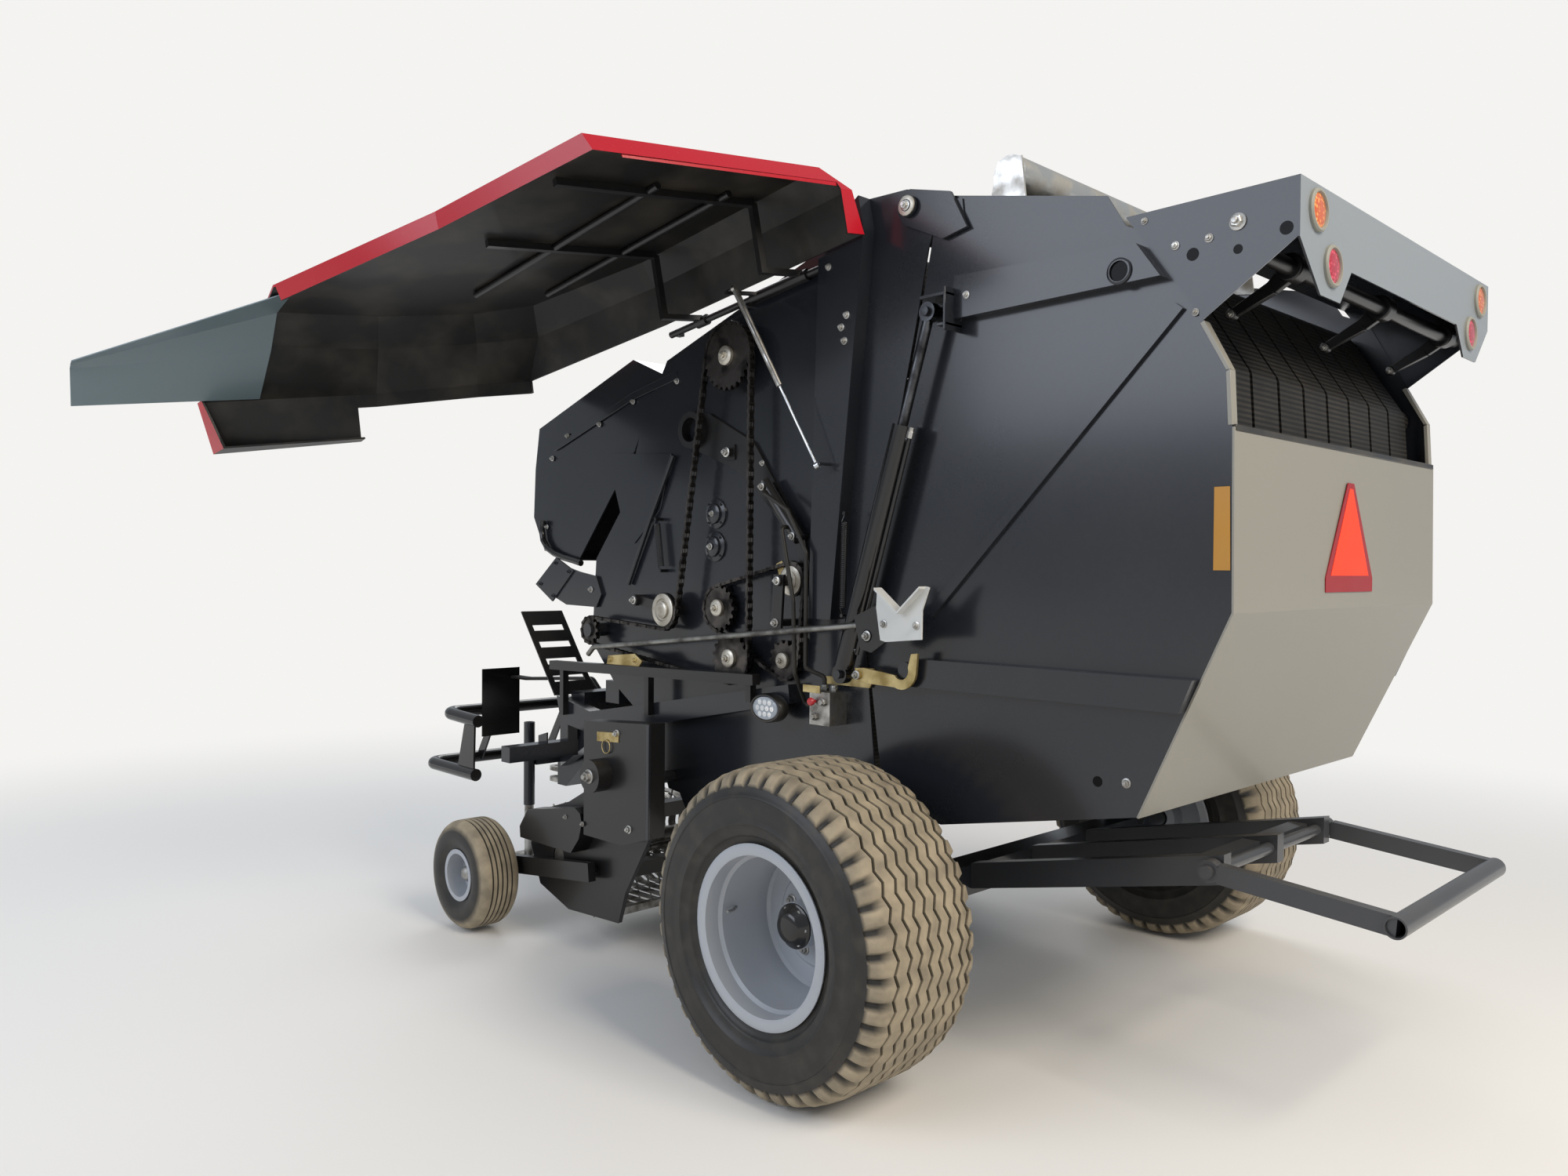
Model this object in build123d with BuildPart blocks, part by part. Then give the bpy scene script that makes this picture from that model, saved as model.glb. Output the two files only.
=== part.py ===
from build123d import *
import math
import os

os.makedirs("parts", exist_ok=True)

# Round baler with a variable chamber, standing on its wheels and parking jack.
# The origin is the centre of the hitch pin's bore. +X runs to the rear, +Y to the machine's right, +Z up.
# Points of the side elevation are written as at(behind the axle, above the ground).

# Driving dimensions, in millimetres and degrees
HITCH_TO_AXLE = 3350
HITCH_HEIGHT = 430
TRACK = 2472
TYRE_DIAMETER = 1060
TYRE_WIDTH = 500
RIM_SEAT_RADIUS = 262
BODY_WIDTH = 1674
SHEET = 6
BELT_WIDTH = 172
BELT_PITCH = 190
BELT_COUNT = 8
BELT_THICKNESS = 8
PICKUP_WIDTH = 2040
GAUGE_TYRE_DIAMETER = 495
GAUGE_TYRE_WIDTH = 210
GAUGE_TRACK = 2400
RUNNING_CLEARANCE = 0.1
SEAT_GAP = 0.3
SHIELD_OPEN_ANGLE = 85
SHIELD_HINGE_SLOPE = 8
SHIELD_PANEL_Y = 1150
SHIELD_SHEET = 8
HITCH_BORE_RADIUS = 17
PTO_BORE_RADIUS = 17.5

# Sizes that follow
HALF = BODY_WIDTH / 2
INNER = HALF - SHEET
TYRE_RADIUS = TYRE_DIAMETER / 2
GAUGE_TYRE_RADIUS = GAUGE_TYRE_DIAMETER / 2
SIDES = (("left", -1), ("right", 1))


def at(behind_axle, above_ground):
    """A point of the side elevation as (X, Z)."""
    return (HITCH_TO_AXLE + behind_axle, above_ground - HITCH_HEIGHT)


def spot(behind_axle, y, above_ground):
    """A point in space as (X, Y, Z)."""
    x, z = at(behind_axle, above_ground)
    return (x, y, z)


def plate(outline, y_from, y_to, mode=Mode.ADD):
    """A flat plate whose outline lies in the side elevation, between two widths."""
    low, high = sorted((y_from, y_to))
    with BuildSketch(Plane.XZ.offset(-high)) as face:
        with BuildLine():
            Polyline(*outline, close=True)
        make_face()
    extrude(face.sketch, amount=high - low, mode=mode)


def rod(start, end, radius, mode=Mode.ADD):
    """A round bar between two points."""
    run = Vector(*end) - Vector(*start)
    with BuildSketch(Plane(origin=start, z_dir=run)) as face:
        Circle(radius)
    extrude(face.sketch, amount=run.length, mode=mode)


def tube(start, end, radius, wall):
    """A round tube with open ends."""
    run = Vector(*end) - Vector(*start)
    with BuildSketch(Plane(origin=start, z_dir=run)) as face:
        Circle(radius)
        Circle(radius - wall, mode=Mode.SUBTRACT)
    extrude(face.sketch, amount=run.length)


def bar(start, end, width, height, mode=Mode.ADD):
    """A rectangular bar between two points; its width lies level."""
    run = Vector(*end) - Vector(*start)
    level = Vector(0, 0, 1).cross(run)
    if level.length < 1:
        level = Vector(0, 1, 0)
    with BuildSketch(Plane(origin=start, x_dir=level, z_dir=run)) as face:
        Rectangle(width, height)
    extrude(face.sketch, amount=run.length, mode=mode)


def bent_rod(points, radius, bend):
    """A round bar that follows straight runs joined by arcs."""
    with BuildLine() as path:
        FilletPolyline(*points, radius=bend)
    with BuildSketch(Plane(origin=path.line @ 0, z_dir=path.line % 0)) as face:
        Circle(radius)
    sweep(face.sketch, path=path.line)


def roller(point, radius, shaft_radius, half_length, half_shaft):
    """A roller across the machine with a shaft that ends in the side plates."""
    x, z = point
    rod((x, -half_length, z), (x, half_length, z), radius)
    rod((x, -half_shaft, z), (x, half_shaft, z), shaft_radius)


def band(path, thickness):
    """The outline of a strip that lies on the left of a path, seen along the path."""
    points = [Vector(*point) for point in path]
    normals = []
    for first, second in zip(points, points[1:]):
        run = (second - first).normalized()
        normals.append(Vector(-run.Y, run.X))
    outer = [points[0] + normals[0] * thickness]
    for corner, before, after in zip(points[1:-1], normals, normals[1:]):
        middle = (before + after).normalized()
        outer.append(corner + middle * (thickness / middle.dot(before)))
    outer.append(points[-1] + normals[-1] * thickness)
    return [(p.X, p.Y) for p in points + outer[::-1]]


def inset(outline, depth):
    """A closed outline moved inwards; the corners run clockwise in the side elevation."""
    points = [Vector(*point) for point in outline]
    count = len(points)
    moved = []
    for index, corner in enumerate(points):
        before = (corner - points[index - 1]).normalized()
        after = (points[(index + 1) % count] - corner).normalized()
        middle = (Vector(-before.Y, before.X) + Vector(-after.Y, after.X)).normalized()
        moved.append(corner + middle * (depth / middle.dot(Vector(-before.Y, before.X))))
    return [(p.X, p.Y) for p in moved]


def over(circles):
    """The path of a taut belt or chain over circles; side 1 leaves the centre on the right."""
    touches = []
    for (x1, z1, r1, s1), (x2, z2, r2, s2) in zip(circles, circles[1:]):
        run = Vector(x2 - x1, z2 - z1)
        ahead = run.normalized()
        left = Vector(-ahead.Y, ahead.X)
        lean = (s1 * r1 - s2 * r2) / run.length
        normal = left * math.sqrt(1 - lean * lean) + ahead * lean
        touches.append((Vector(x1, z1) + normal * (s1 * r1), Vector(x2, z2) + normal * (s2 * r2)))
    points = [touches[0][0]]
    for (before, arrive), (leave, after), (x, z, radius, side) in zip(touches, touches[1:], circles[1:-1]):
        points += arc_points(Vector(x, z), arrive, leave, side)
    points.append(touches[-1][1])
    return [(p.X, p.Y) for p in points]


def loop(circles):
    """The closed path round a row of circles."""
    return over([circles[-1]] + circles + [circles[0]])[1:-1]


def grown(circles, more):
    """The same circles for a path that lies further to the left."""
    return [(x, z, radius + side * more, side) for x, z, radius, side in circles]


def arc_points(centre, arrive, leave, side):
    """Points round a circle from one touching point to the next, with a corner about every 20 degrees."""
    start = math.atan2(arrive.Y - centre.Y, arrive.X - centre.X)
    turn = math.atan2(leave.Y - centre.Y, leave.X - centre.X) - start
    turn = -(-turn % math.tau) if side > 0 else turn % math.tau
    steps = max(2, round(abs(math.degrees(turn)) / 20))
    reach = (arrive - centre).length / math.cos(turn / steps / 2)
    corners = [start + turn * (k + 0.5) / steps for k in range(steps)]
    middle = [centre + Vector(math.cos(corner), math.sin(corner)) * reach for corner in corners]
    return [arrive] + middle + [leave]


# Axle: a square beam with a spindle at each end, hung under the chamber by upright gussets
AXLE_HEIGHT = TYRE_RADIUS
AXLE_BEAM = 110
AXLE_BEAM_HALF = 930
SPINDLE_RADIUS = 35
SPINDLE_REACH = 40
SIDE_FOOT = 830
with BuildPart() as axle_beam:
    bar(spot(0, -AXLE_BEAM_HALF, AXLE_HEIGHT), spot(0, AXLE_BEAM_HALF, AXLE_HEIGHT), AXLE_BEAM, AXLE_BEAM)
    for name, hand in SIDES:
        rod(spot(0, hand * AXLE_BEAM_HALF, AXLE_HEIGHT),
            spot(0, hand * (TRACK / 2 + SPINDLE_REACH), AXLE_HEIGHT), SPINDLE_RADIUS)
        gusset = [at(-230, SIDE_FOOT), at(-60, AXLE_HEIGHT), at(60, AXLE_HEIGHT), at(200, SIDE_FOOT - 10),
                  at(-60, SIDE_FOOT + 140)]
        plate(gusset, hand * (INNER - 12), hand * INNER)
axle_beam.part.label = "axle_beam"
export_step(axle_beam.part, "parts/axle_beam.step")

# Main wheels: a deep dished steel rim with its hub, and a wide low tyre
HUB_RADIUS = 75
HUB_INNER_END = -130
HUB_OUTER_END = 60
RIM_HALF_WIDTH = 226
RIM_FLANGE_RADIUS = 290
RIM_WALL = 8
DISC_OFFSET = -40
for name, hand in SIDES:
    centre = spot(0, hand * TRACK / 2, AXLE_HEIGHT)
    across = Plane(origin=centre, x_dir=(0, hand, 0), z_dir=(hand, 0, 0))
    turning = Axis(centre, (0, 1, 0))
    seat = RIM_SEAT_RADIUS
    with BuildPart() as rim:
        with BuildSketch(across) as section:
            with BuildLine():
                Polyline((-RIM_HALF_WIDTH, RIM_FLANGE_RADIUS), (-RIM_HALF_WIDTH + RIM_WALL, RIM_FLANGE_RADIUS),
                         (-RIM_HALF_WIDTH + RIM_WALL, seat), (RIM_HALF_WIDTH - RIM_WALL, seat),
                         (RIM_HALF_WIDTH - RIM_WALL, RIM_FLANGE_RADIUS), (RIM_HALF_WIDTH, RIM_FLANGE_RADIUS),
                         (RIM_HALF_WIDTH, seat - RIM_WALL), (40, seat - RIM_WALL - 22), (DISC_OFFSET, seat - 40),
                         (DISC_OFFSET, HUB_RADIUS), (HUB_OUTER_END, HUB_RADIUS), (HUB_OUTER_END + 35, 45),
                         (HUB_OUTER_END + 35, 0), (SPINDLE_REACH + 2, 0),
                         (SPINDLE_REACH + 2, SPINDLE_RADIUS + RUNNING_CLEARANCE),
                         (HUB_INNER_END, SPINDLE_RADIUS + RUNNING_CLEARANCE), (HUB_INNER_END, HUB_RADIUS),
                         (DISC_OFFSET - 12, HUB_RADIUS), (DISC_OFFSET - 12, seat - RIM_WALL - 22),
                         (-RIM_HALF_WIDTH, seat - RIM_WALL), close=True)
            make_face()
        revolve(section.sketch, axis=turning)
    rim.part.label = "rim_" + name
    export_step(rim.part, "parts/rim_" + name + ".step")
    with BuildPart() as tyre:
        bead = RIM_HALF_WIDTH - RIM_WALL - 1
        with BuildSketch(across) as section:
            with BuildLine():
                Polyline((-bead, seat + SEAT_GAP), (-bead, RIM_FLANGE_RADIUS + 12), (-246, 350), (-250, 410),
                         (-232, 478), (-205, 514), (-120, TYRE_RADIUS), (120, TYRE_RADIUS), (205, 514),
                         (232, 478), (250, 410), (246, 350), (bead, RIM_FLANGE_RADIUS + 12),
                         (bead, seat + SEAT_GAP), close=True)
            make_face()
        revolve(section.sketch, axis=turning)
    tyre.part.label = "tyre_" + name
    export_step(tyre.part, "parts/tyre_" + name + ".step")

# Chamber sides: a steel plate on each side with the folded post in front of the tailgate
GATE_PIVOT = at(90, 2915)
GATE_PIN_RADIUS = 20
GATE_CAP_RADIUS = 36
EAR_FROM = 6
EAR_TO = 20
MOVING_GAP = 6
POST_DEPTH = 60
CYLINDER_FOOT = at(-160, 1310)
CYLINDER_Y = 905
CYLINDER_PIN_RADIUS = 16
CYLINDER_BOSS_RADIUS = 26
CYLINDER_EYE_HALF = 18
PICKUP_HALF = PICKUP_WIDTH / 2
PICKUP_PIVOT = (-1200, 800)
PICKUP_PIN_RADIUS = 25
STRUT_FOOT = (-250, 950, 2050)
STRUT_HEAD = (-600, 880, 2586)
STRUT_PIN_RADIUS = 6
STRUT_EYE_RADIUS = 13
STRUT_EYE_HALF = 8
STRUT_STUD = 15
HINGE_Y = 870
HINGE_REAR = (-250, 2785)
slope = math.radians(SHIELD_HINGE_SLOPE)
hinge_axis = Axis(spot(HINGE_REAR[0], -HINGE_Y, HINGE_REAR[1]), (-math.cos(slope), 0, -math.sin(slope)))
strut_foot = Vector(*spot(STRUT_FOOT[0], -STRUT_FOOT[1], STRUT_FOOT[2]))
strut_closed = Vector(*spot(STRUT_HEAD[0], -STRUT_HEAD[1], STRUT_HEAD[2]))
hinge_point = Vector(*hinge_axis.position)
strut_open = hinge_point + (strut_closed - hinge_point).rotate(Axis((0, 0, 0), hinge_axis.direction),
                                                                SHIELD_OPEN_ANGLE)
strut_turn = (strut_open - strut_foot).cross(strut_closed - strut_foot).normalized()
CROSS_SHAFT_AT = (-1700, 1400)
CROSS_SHAFT_RADIUS = 30
chamber_outline = [at(-62, 940), at(-100, 1310), at(-138, 1531), at(-32, 1918), at(102, 2500),
                   at(170, 2830), at(160, 2960), at(60, 2985), at(-110, 2990), at(-330, 2860),
                   at(-1250, 2560), at(-1420, 2300), at(-1560, 1950), at(-1760, 1720), at(-1790, 1340),
                   at(-1600, 1150), at(-1360, 1000), at(-1262, 830), at(-1225, 745), at(-1150, 735),
                   at(-1000, 510), at(-760, 600), at(-300, 800)]
post_outline = [at(-340, 1500), at(-230, 1500), at(-85, 2870), at(-110, 2990), at(-300, 2860)]
for name, hand in SIDES:
    with BuildPart() as chamber_side:
        plate(chamber_outline, hand * INNER, hand * HALF)
        plate(post_outline, hand * HALF, hand * (HALF + POST_DEPTH))
        pivot_x, pivot_z = GATE_PIVOT
        rod((pivot_x, hand * HALF, pivot_z), (pivot_x, hand * (HALF + 45), pivot_z), GATE_PIN_RADIUS)
        cap_from = HALF + EAR_TO + MOVING_GAP
        rod((pivot_x, hand * cap_from, pivot_z), (pivot_x, hand * (cap_from + 10), pivot_z), GATE_CAP_RADIUS)
        foot_x, foot_z = CYLINDER_FOOT
        rod((foot_x, hand * HALF, foot_z), (foot_x, hand * (CYLINDER_Y + 32), foot_z), CYLINDER_PIN_RADIUS)
        pivot_s, pivot_h = PICKUP_PIVOT
        rod(spot(pivot_s, hand * HALF, pivot_h), spot(pivot_s, hand * (PICKUP_HALF - 4), pivot_h),
            PICKUP_PIN_RADIUS)
        stud = strut_foot - strut_turn * STRUT_STUD
        stud_end = strut_foot + strut_turn * (STRUT_EYE_HALF + 2)
        rod((stud.X, hand * (HALF + POST_DEPTH), stud.Z), (stud.X, -hand * stud.Y, stud.Z), STRUT_PIN_RADIUS)
        rod((stud.X, -hand * stud.Y, stud.Z), (stud_end.X, -hand * stud_end.Y, stud_end.Z), STRUT_PIN_RADIUS)
        if name == "left":
            shaft_s, shaft_h = CROSS_SHAFT_AT
            rod(spot(shaft_s, -INNER + 1, shaft_h), spot(shaft_s, -HALF - 1, shaft_h),
                CROSS_SHAFT_RADIUS + RUNNING_CLEARANCE, mode=Mode.SUBTRACT)
    chamber_side.part.label = "chamber_side_" + name
    export_step(chamber_side.part, "parts/chamber_side_" + name + ".step")

# Main frame: cross members between the sides and the tapered front arms outside them
ARM_WIDTH = 63
FRONT_BEAM = 100
FRONT_BEAM_AT = at(-1900, 1050)
GEARBOX_BEAM_AT = at(-1640, 1120)
TOP_TUBE_AT = at(-60, 2920)
STOP_BEAM_AT = (-1935, 840)
STOP_BEAM = 70
STOP_BEAM_END = 1200
with BuildPart() as main_frame:
    for name, hand in SIDES:
        plate([at(-1985, 1080), at(-1950, 960), at(-1717, 930), at(-430, 1180), at(-440, 1250),
               at(-1717, 1030)], hand * HALF, hand * (HALF + ARM_WIDTH))
        stop_s, stop_h = STOP_BEAM_AT
        bar(spot(stop_s, hand * HALF, stop_h), spot(stop_s, hand * STOP_BEAM_END, stop_h), STOP_BEAM, STOP_BEAM)
        plate([at(stop_s - 32, stop_h - 30), at(stop_s + 32, stop_h - 30), at(stop_s + 32, 985),
               at(stop_s - 32, 985)], hand * (HALF + 2), hand * (HALF + ARM_WIDTH - 8))
        plate([at(stop_s - 35, stop_h + 34), at(stop_s + 35, stop_h + 34), at(stop_s + 35, stop_h + 85),
               at(stop_s - 35, stop_h + 65)], hand * 1000, hand * 1008)
    x, z = FRONT_BEAM_AT
    bar((x, -HALF, z), (x, HALF, z), FRONT_BEAM, FRONT_BEAM)
    x, z = GEARBOX_BEAM_AT
    bar((x, -INNER, z), (x, INNER, z), FRONT_BEAM, FRONT_BEAM)
    x, z = TOP_TUBE_AT
    rod((x, -INNER, z), (x, INNER, z), 50)
main_frame.part.label = "main_frame"
export_step(main_frame.part, "parts/main_frame.step")

# Drawbar: two box beams that meet at the hitch, with the jack's tube and the driveline's cradle
DRAWBAR_REAR = (-1990, 410, 1050)
DRAWBAR_FRONT = (-3160, 75, 560)
JACK_AT = (-3200, -290)
JACK_TUBE_RADIUS = 32
JACK_LEG_RADIUS = 26
with BuildPart() as drawbar:
    for name, hand in SIDES:
        rear_s, rear_y, rear_h = DRAWBAR_REAR
        front_s, front_y, front_h = DRAWBAR_FRONT
        bar(spot(rear_s, hand * rear_y, rear_h), spot(front_s, hand * front_y, front_h), 60, 110)
        plate([at(-1950, 990), at(-1950, 1110), at(-2020, 1110), at(-2020, 975)],
              hand * (rear_y - 55), hand * (rear_y + 55))
    nose = [at(-3240, 560), at(-3240, 385), at(-3150, 385), at(-2900, 600), at(-2900, 700), at(-3040, 640)]
    plate(nose, -70, 70)
    jack_s, jack_y = JACK_AT
    tube(spot(jack_s, jack_y, 300), spot(jack_s, jack_y, 780), JACK_TUBE_RADIUS, 5)
    bar(spot(jack_s, jack_y + JACK_TUBE_RADIUS - 3, 560), spot(jack_s, -60, 560), 60, 60)
drawbar.part.label = "drawbar"
export_step(drawbar.part, "parts/drawbar.step")

# Hitch clevis: two ears with the pin's bore, bolted to the drawbar's nose
EAR_REACH = 45
EAR_INNER = 20
with BuildPart() as hitch_clevis:
    for low, high in ((-EAR_REACH, -EAR_INNER), (EAR_INNER, EAR_REACH)):
        with BuildSketch(Plane.XY.offset(low)) as ear:
            Circle(45)
            with Locations((55, 0)):
                Rectangle(110, 90)
        extrude(ear.sketch, amount=high - low)
    with BuildSketch(Plane.XY.offset(-EAR_REACH)) as back:
        with Locations((95, 0)):
            Rectangle(30, 90)
    extrude(back.sketch, amount=2 * EAR_REACH)
    with BuildSketch(Plane.XY.offset(-EAR_REACH)) as bore:
        Circle(HITCH_BORE_RADIUS)
    extrude(bore.sketch, amount=2 * EAR_REACH, mode=Mode.SUBTRACT)
hitch_clevis.part.label = "hitch_clevis"
export_step(hitch_clevis.part, "parts/hitch_clevis.step")

# Jack leg: slides in its tube and stands on a square foot
with BuildPart() as jack_leg:
    jack_s, jack_y = JACK_AT
    rod(spot(jack_s, jack_y, 8), spot(jack_s, jack_y, 740), JACK_LEG_RADIUS)
    with BuildSketch(Plane.XY.offset(-HITCH_HEIGHT)) as foot:
        with Locations((HITCH_TO_AXLE + jack_s, jack_y)):
            Rectangle(200, 200)
    extrude(foot.sketch, amount=10)
jack_leg.part.label = "jack_leg"
export_step(jack_leg.part, "parts/jack_leg.step")

# Gearbox and its cross shaft to the drives on the left
PTO_REAR = (-1890, 1300)
PTO_BOSS_AT = -1855
PTO_FRONT = (-3090, 745)
with BuildPart() as gearbox:
    plate([at(-1830, 1170), at(-1560, 1170), at(-1560, 1500), at(-1620, 1560), at(-1780, 1560),
           at(-1830, 1500)], -120, 120)
    shaft_s, shaft_h = CROSS_SHAFT_AT
    rod(spot(shaft_s, -120, shaft_h), spot(shaft_s, -HALF - 90, shaft_h), CROSS_SHAFT_RADIUS)
    rod(spot(-1830, 0, PTO_REAR[1]), spot(PTO_BOSS_AT, 0, PTO_REAR[1]), 45)
gearbox.part.label = "gearbox"
export_step(gearbox.part, "parts/gearbox.step")

# Driveline in its guard, parked on the drawbar
with BuildPart() as driveline:
    rear_s, rear_h = PTO_REAR
    front_s, front_h = PTO_FRONT
    rear, front = Vector(*spot(rear_s, 0, rear_h)), Vector(*spot(front_s, 0, front_h))
    along = (front - rear).normalized()
    rod(spot(PTO_BOSS_AT, 0, rear_h), tuple(rear), 28)
    rod(tuple(rear - along * 12), tuple(rear + along * 200), 28)
    rod(tuple(rear + along * 90), tuple(rear + along * 260), 75)
    rod(tuple(rear + along * 200), tuple(front - along * 160), 48)
    rod(tuple(front - along * 260), tuple(front - along * 90), 75)
    rod(tuple(front - along * 160), tuple(front), 30)
    rod(tuple(front - along * 70), tuple(front + along), PTO_BORE_RADIUS, mode=Mode.SUBTRACT)
driveline.part.label = "driveline"
export_step(driveline.part, "parts/driveline.step")

# Front guard: on each side of the drawbar two stacked tubes with open ends, joined by flat plates
GUARD_Y = 1050
GUARD_INNER_Y = 190
GUARD_TUBE_RADIUS = 30
GUARD_TUBES = ((-2440, -2766, 925, 940), (-2460, -2940, 660, 665))
with BuildPart() as front_guard:
    for name, hand in SIDES:
        for end_s, front_s, end_h, front_h in GUARD_TUBES:
            bent_rod([spot(end_s, hand * GUARD_Y, end_h), spot(front_s, hand * GUARD_Y, front_h),
                      spot(front_s, hand * GUARD_INNER_Y, front_h)], GUARD_TUBE_RADIUS, 70)
        for y in (GUARD_Y, 760, 330):
            plate([at(-2470, 925), at(-2560, 925), at(-2640, 660), at(-2480, 660)] if y == GUARD_Y else
                  [at(-2740, 930), at(-2790, 930), at(-2960, 670), at(-2910, 650)],
                  hand * (y - 5), hand * (y + 5))
        plate([at(-2735, 800), at(-2741, 800), at(-2741, 1150), at(-2735, 1150)],
              hand * 640, hand * 860)
        plate([at(-2760, 960), at(-2810, 960), at(-2960, 640), at(-2860, 640)], hand * 150, hand * 230)
        rear_s, rear_y, rear_h = DRAWBAR_REAR
        front_s, front_y, front_h = DRAWBAR_FRONT
        bar(spot(rear_s, hand * rear_y, rear_h), spot(front_s, hand * front_y, front_h),
            60 + 2 * SEAT_GAP, 110 + 2 * SEAT_GAP, mode=Mode.SUBTRACT)
front_guard.part.label = "front_guard"
export_step(front_guard.part, "parts/front_guard.step")

# Net wrap hood: a folded sheet housing across the front of the machine
HOOD_HALF = INNER - SEAT_GAP
with BuildPart() as net_hood:
    skin = band([at(-1911, 1713), at(-2200, 1760), at(-2296, 1925), at(-2283, 2156), at(-2249, 2353),
                 at(-1495, 2596), at(-1290, 2511)], -SHEET)
    plate(skin, -HOOD_HALF, HOOD_HALF)
    end = [at(-1911, 1713), at(-2200, 1760), at(-2296, 1925), at(-2283, 2156), at(-2249, 2353),
           at(-1495, 2596), at(-1290, 2511), at(-1480, 2200)]
    for y in (-HOOD_HALF, HOOD_HALF - SHEET):
        plate(end, y, y + SHEET)
net_hood.part.label = "net_hood"
export_step(net_hood.part, "parts/net_hood.step")

# Belts and rollers of the front half of the chamber, held between the sides
ROLLER_HALF = INNER - 16
FRONT_ROLLERS = ((-600, 900, 110), (-1120, 1620, 60), (-1330, 2080, 60), (-1180, 2430, 60), (-230, 2790, 75))
FULL_BALE = (*at(150, 1850), 880, -1)
rollers = [(*at(s, h), radius, 1) for s, h, radius in FRONT_ROLLERS]
run = grown(rollers, SEAT_GAP) + [FULL_BALE]
with BuildPart() as one_belt:
    plate(loop(grown(run, BELT_THICKNESS)), -BELT_WIDTH / 2, BELT_WIDTH / 2)
    plate(loop(run), -BELT_WIDTH / 2 - 1, BELT_WIDTH / 2 + 1, mode=Mode.SUBTRACT)
with BuildPart() as front_belts:
    with Locations(*[(0, (index - (BELT_COUNT - 1) / 2) * BELT_PITCH, 0) for index in range(BELT_COUNT)]):
        add(one_belt.part)
    for x, z, radius, side in rollers:
        roller((x, z), radius, 22, ROLLER_HALF, INNER)
front_belts.part.label = "front_belts"
export_step(front_belts.part, "parts/front_belts.step")

# Drives on the left: sprockets on their shafts, chains, the tension arm and its cylinder
CHAIN_PLANES = {"inner": 870, "outer": 906}
CHAIN_PITCH = 31.75
CHAIN_HEIGHT = 16
LINK_PLATE = 3
PLATE_SPACING = 11.5
ROLLER_SIZE = 10
TOOTH_WIDTH = PLATE_SPACING - LINK_PLATE - 2 * SEAT_GAP
TOOTH_HEIGHT = 13
SPROCKET_HALF = PLATE_SPACING / 2 + TOOTH_WIDTH / 2
SPROCKET_SHAFT = 20
TENSIONER_AT = (-450, 1637)
HUB_END_Y = CHAIN_PLANES["inner"] + SPROCKET_SHAFT
# Columns: name, behind the axle, above the ground, radius under the chain, side, plane of the chain, teeth
SPROCKETS = (("main", *CROSS_SHAFT_AT, 50, 1, "outer", 11), ("pale idler", -1170, 1506, 72, -1, "outer", 0),
             ("top", -778, 2512, 122, 1, "outer", 26), ("bottom", -750, 1330, 90, 1, "outer", 19),
             ("toothed", -862, 1523, 80, 1, "inner", 17), ("tensioner", *TENSIONER_AT, 60, 1, "inner", 0),
             ("lower", -486, 1336, 64, 1, "inner", 14))
TOOTH_SHAPE = ((-0.34, 0), (-0.15, TOOTH_HEIGHT), (0.15, TOOTH_HEIGHT), (0.34, 0))
with BuildPart() as drive_sprockets:
    for name, s, h, radius, side, plane, teeth in SPROCKETS:
        y = CHAIN_PLANES[plane]
        x, z = at(s, h)
        rod((x, -y + SPROCKET_HALF, z), (x, -y - SPROCKET_HALF, z), radius - (1 if teeth else 0))
        for row in (-PLATE_SPACING / 2, PLATE_SPACING / 2):
            crown = [(x + (radius + rise) * math.cos(math.tau * (tooth + part) / teeth),
                      z + (radius + rise) * math.sin(math.tau * (tooth + part) / teeth))
                     for tooth in range(teeth) for part, rise in TOOTH_SHAPE]
            if teeth:
                plate(crown, -y + row - TOOTH_WIDTH / 2, -y + row + TOOTH_WIDTH / 2)
        if name == "main":
            rod((x, -y + SPROCKET_SHAFT, z), (x, -y - SPROCKET_SHAFT, z),
                CROSS_SHAFT_RADIUS + RUNNING_CLEARANCE, mode=Mode.SUBTRACT)
        else:
            rod((x, -HALF, z), (x, -y - SPROCKET_SHAFT, z), 24)
drive_sprockets.part.label = "drive_sprockets"
export_step(drive_sprockets.part, "parts/drive_sprockets.step")

# Chains of two rows of links: three rows of plates, and rollers where the chain runs free
chains = []
for plane, y in CHAIN_PLANES.items():
    wheels = [(*at(s, h), radius + (SEAT_GAP if side > 0 else CHAIN_HEIGHT + SEAT_GAP), side)
              for name, s, h, radius, side, where, teeth in SPROCKETS if where == plane]
    with BuildPart() as plate_row:
        plate(loop(grown(wheels, CHAIN_HEIGHT)), -LINK_PLATE / 2, LINK_PLATE / 2)
        plate(loop(wheels), -LINK_PLATE / 2 - 1, LINK_PLATE / 2 + 1, mode=Mode.SUBTRACT)
    with BuildPart() as chain:
        with Locations(*[(0, -y + row, 0) for row in (-PLATE_SPACING, 0, PLATE_SPACING)]):
            add(plate_row.part)
        pitch_line = grown(wheels, CHAIN_HEIGHT / 2)
        with BuildSketch(Plane.XZ.offset(y - PLATE_SPACING)) as rollers:
            for first, second in zip(pitch_line, pitch_line[1:] + pitch_line[:1]):
                (x1, z1), (x2, z2) = over([first, second])
                run = math.dist((x1, z1), (x2, z2))
                links = int((run - 4 * CHAIN_PITCH) / CHAIN_PITCH)
                for link in range(links + 1):
                    share = (run - links * CHAIN_PITCH) / 2 / run + link * CHAIN_PITCH / run
                    lean = math.degrees(math.atan2(z2 - z1, x2 - x1))
                    with Locations((x1 + (x2 - x1) * share, z1 + (z2 - z1) * share)):
                        Rectangle(ROLLER_SIZE, ROLLER_SIZE, rotation=lean)
        extrude(rollers.sketch, amount=2 * PLATE_SPACING)
    chains.append(chain.part)
with BuildPart() as drive_chains:
    for chain_part in chains:
        add(chain_part)
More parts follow.
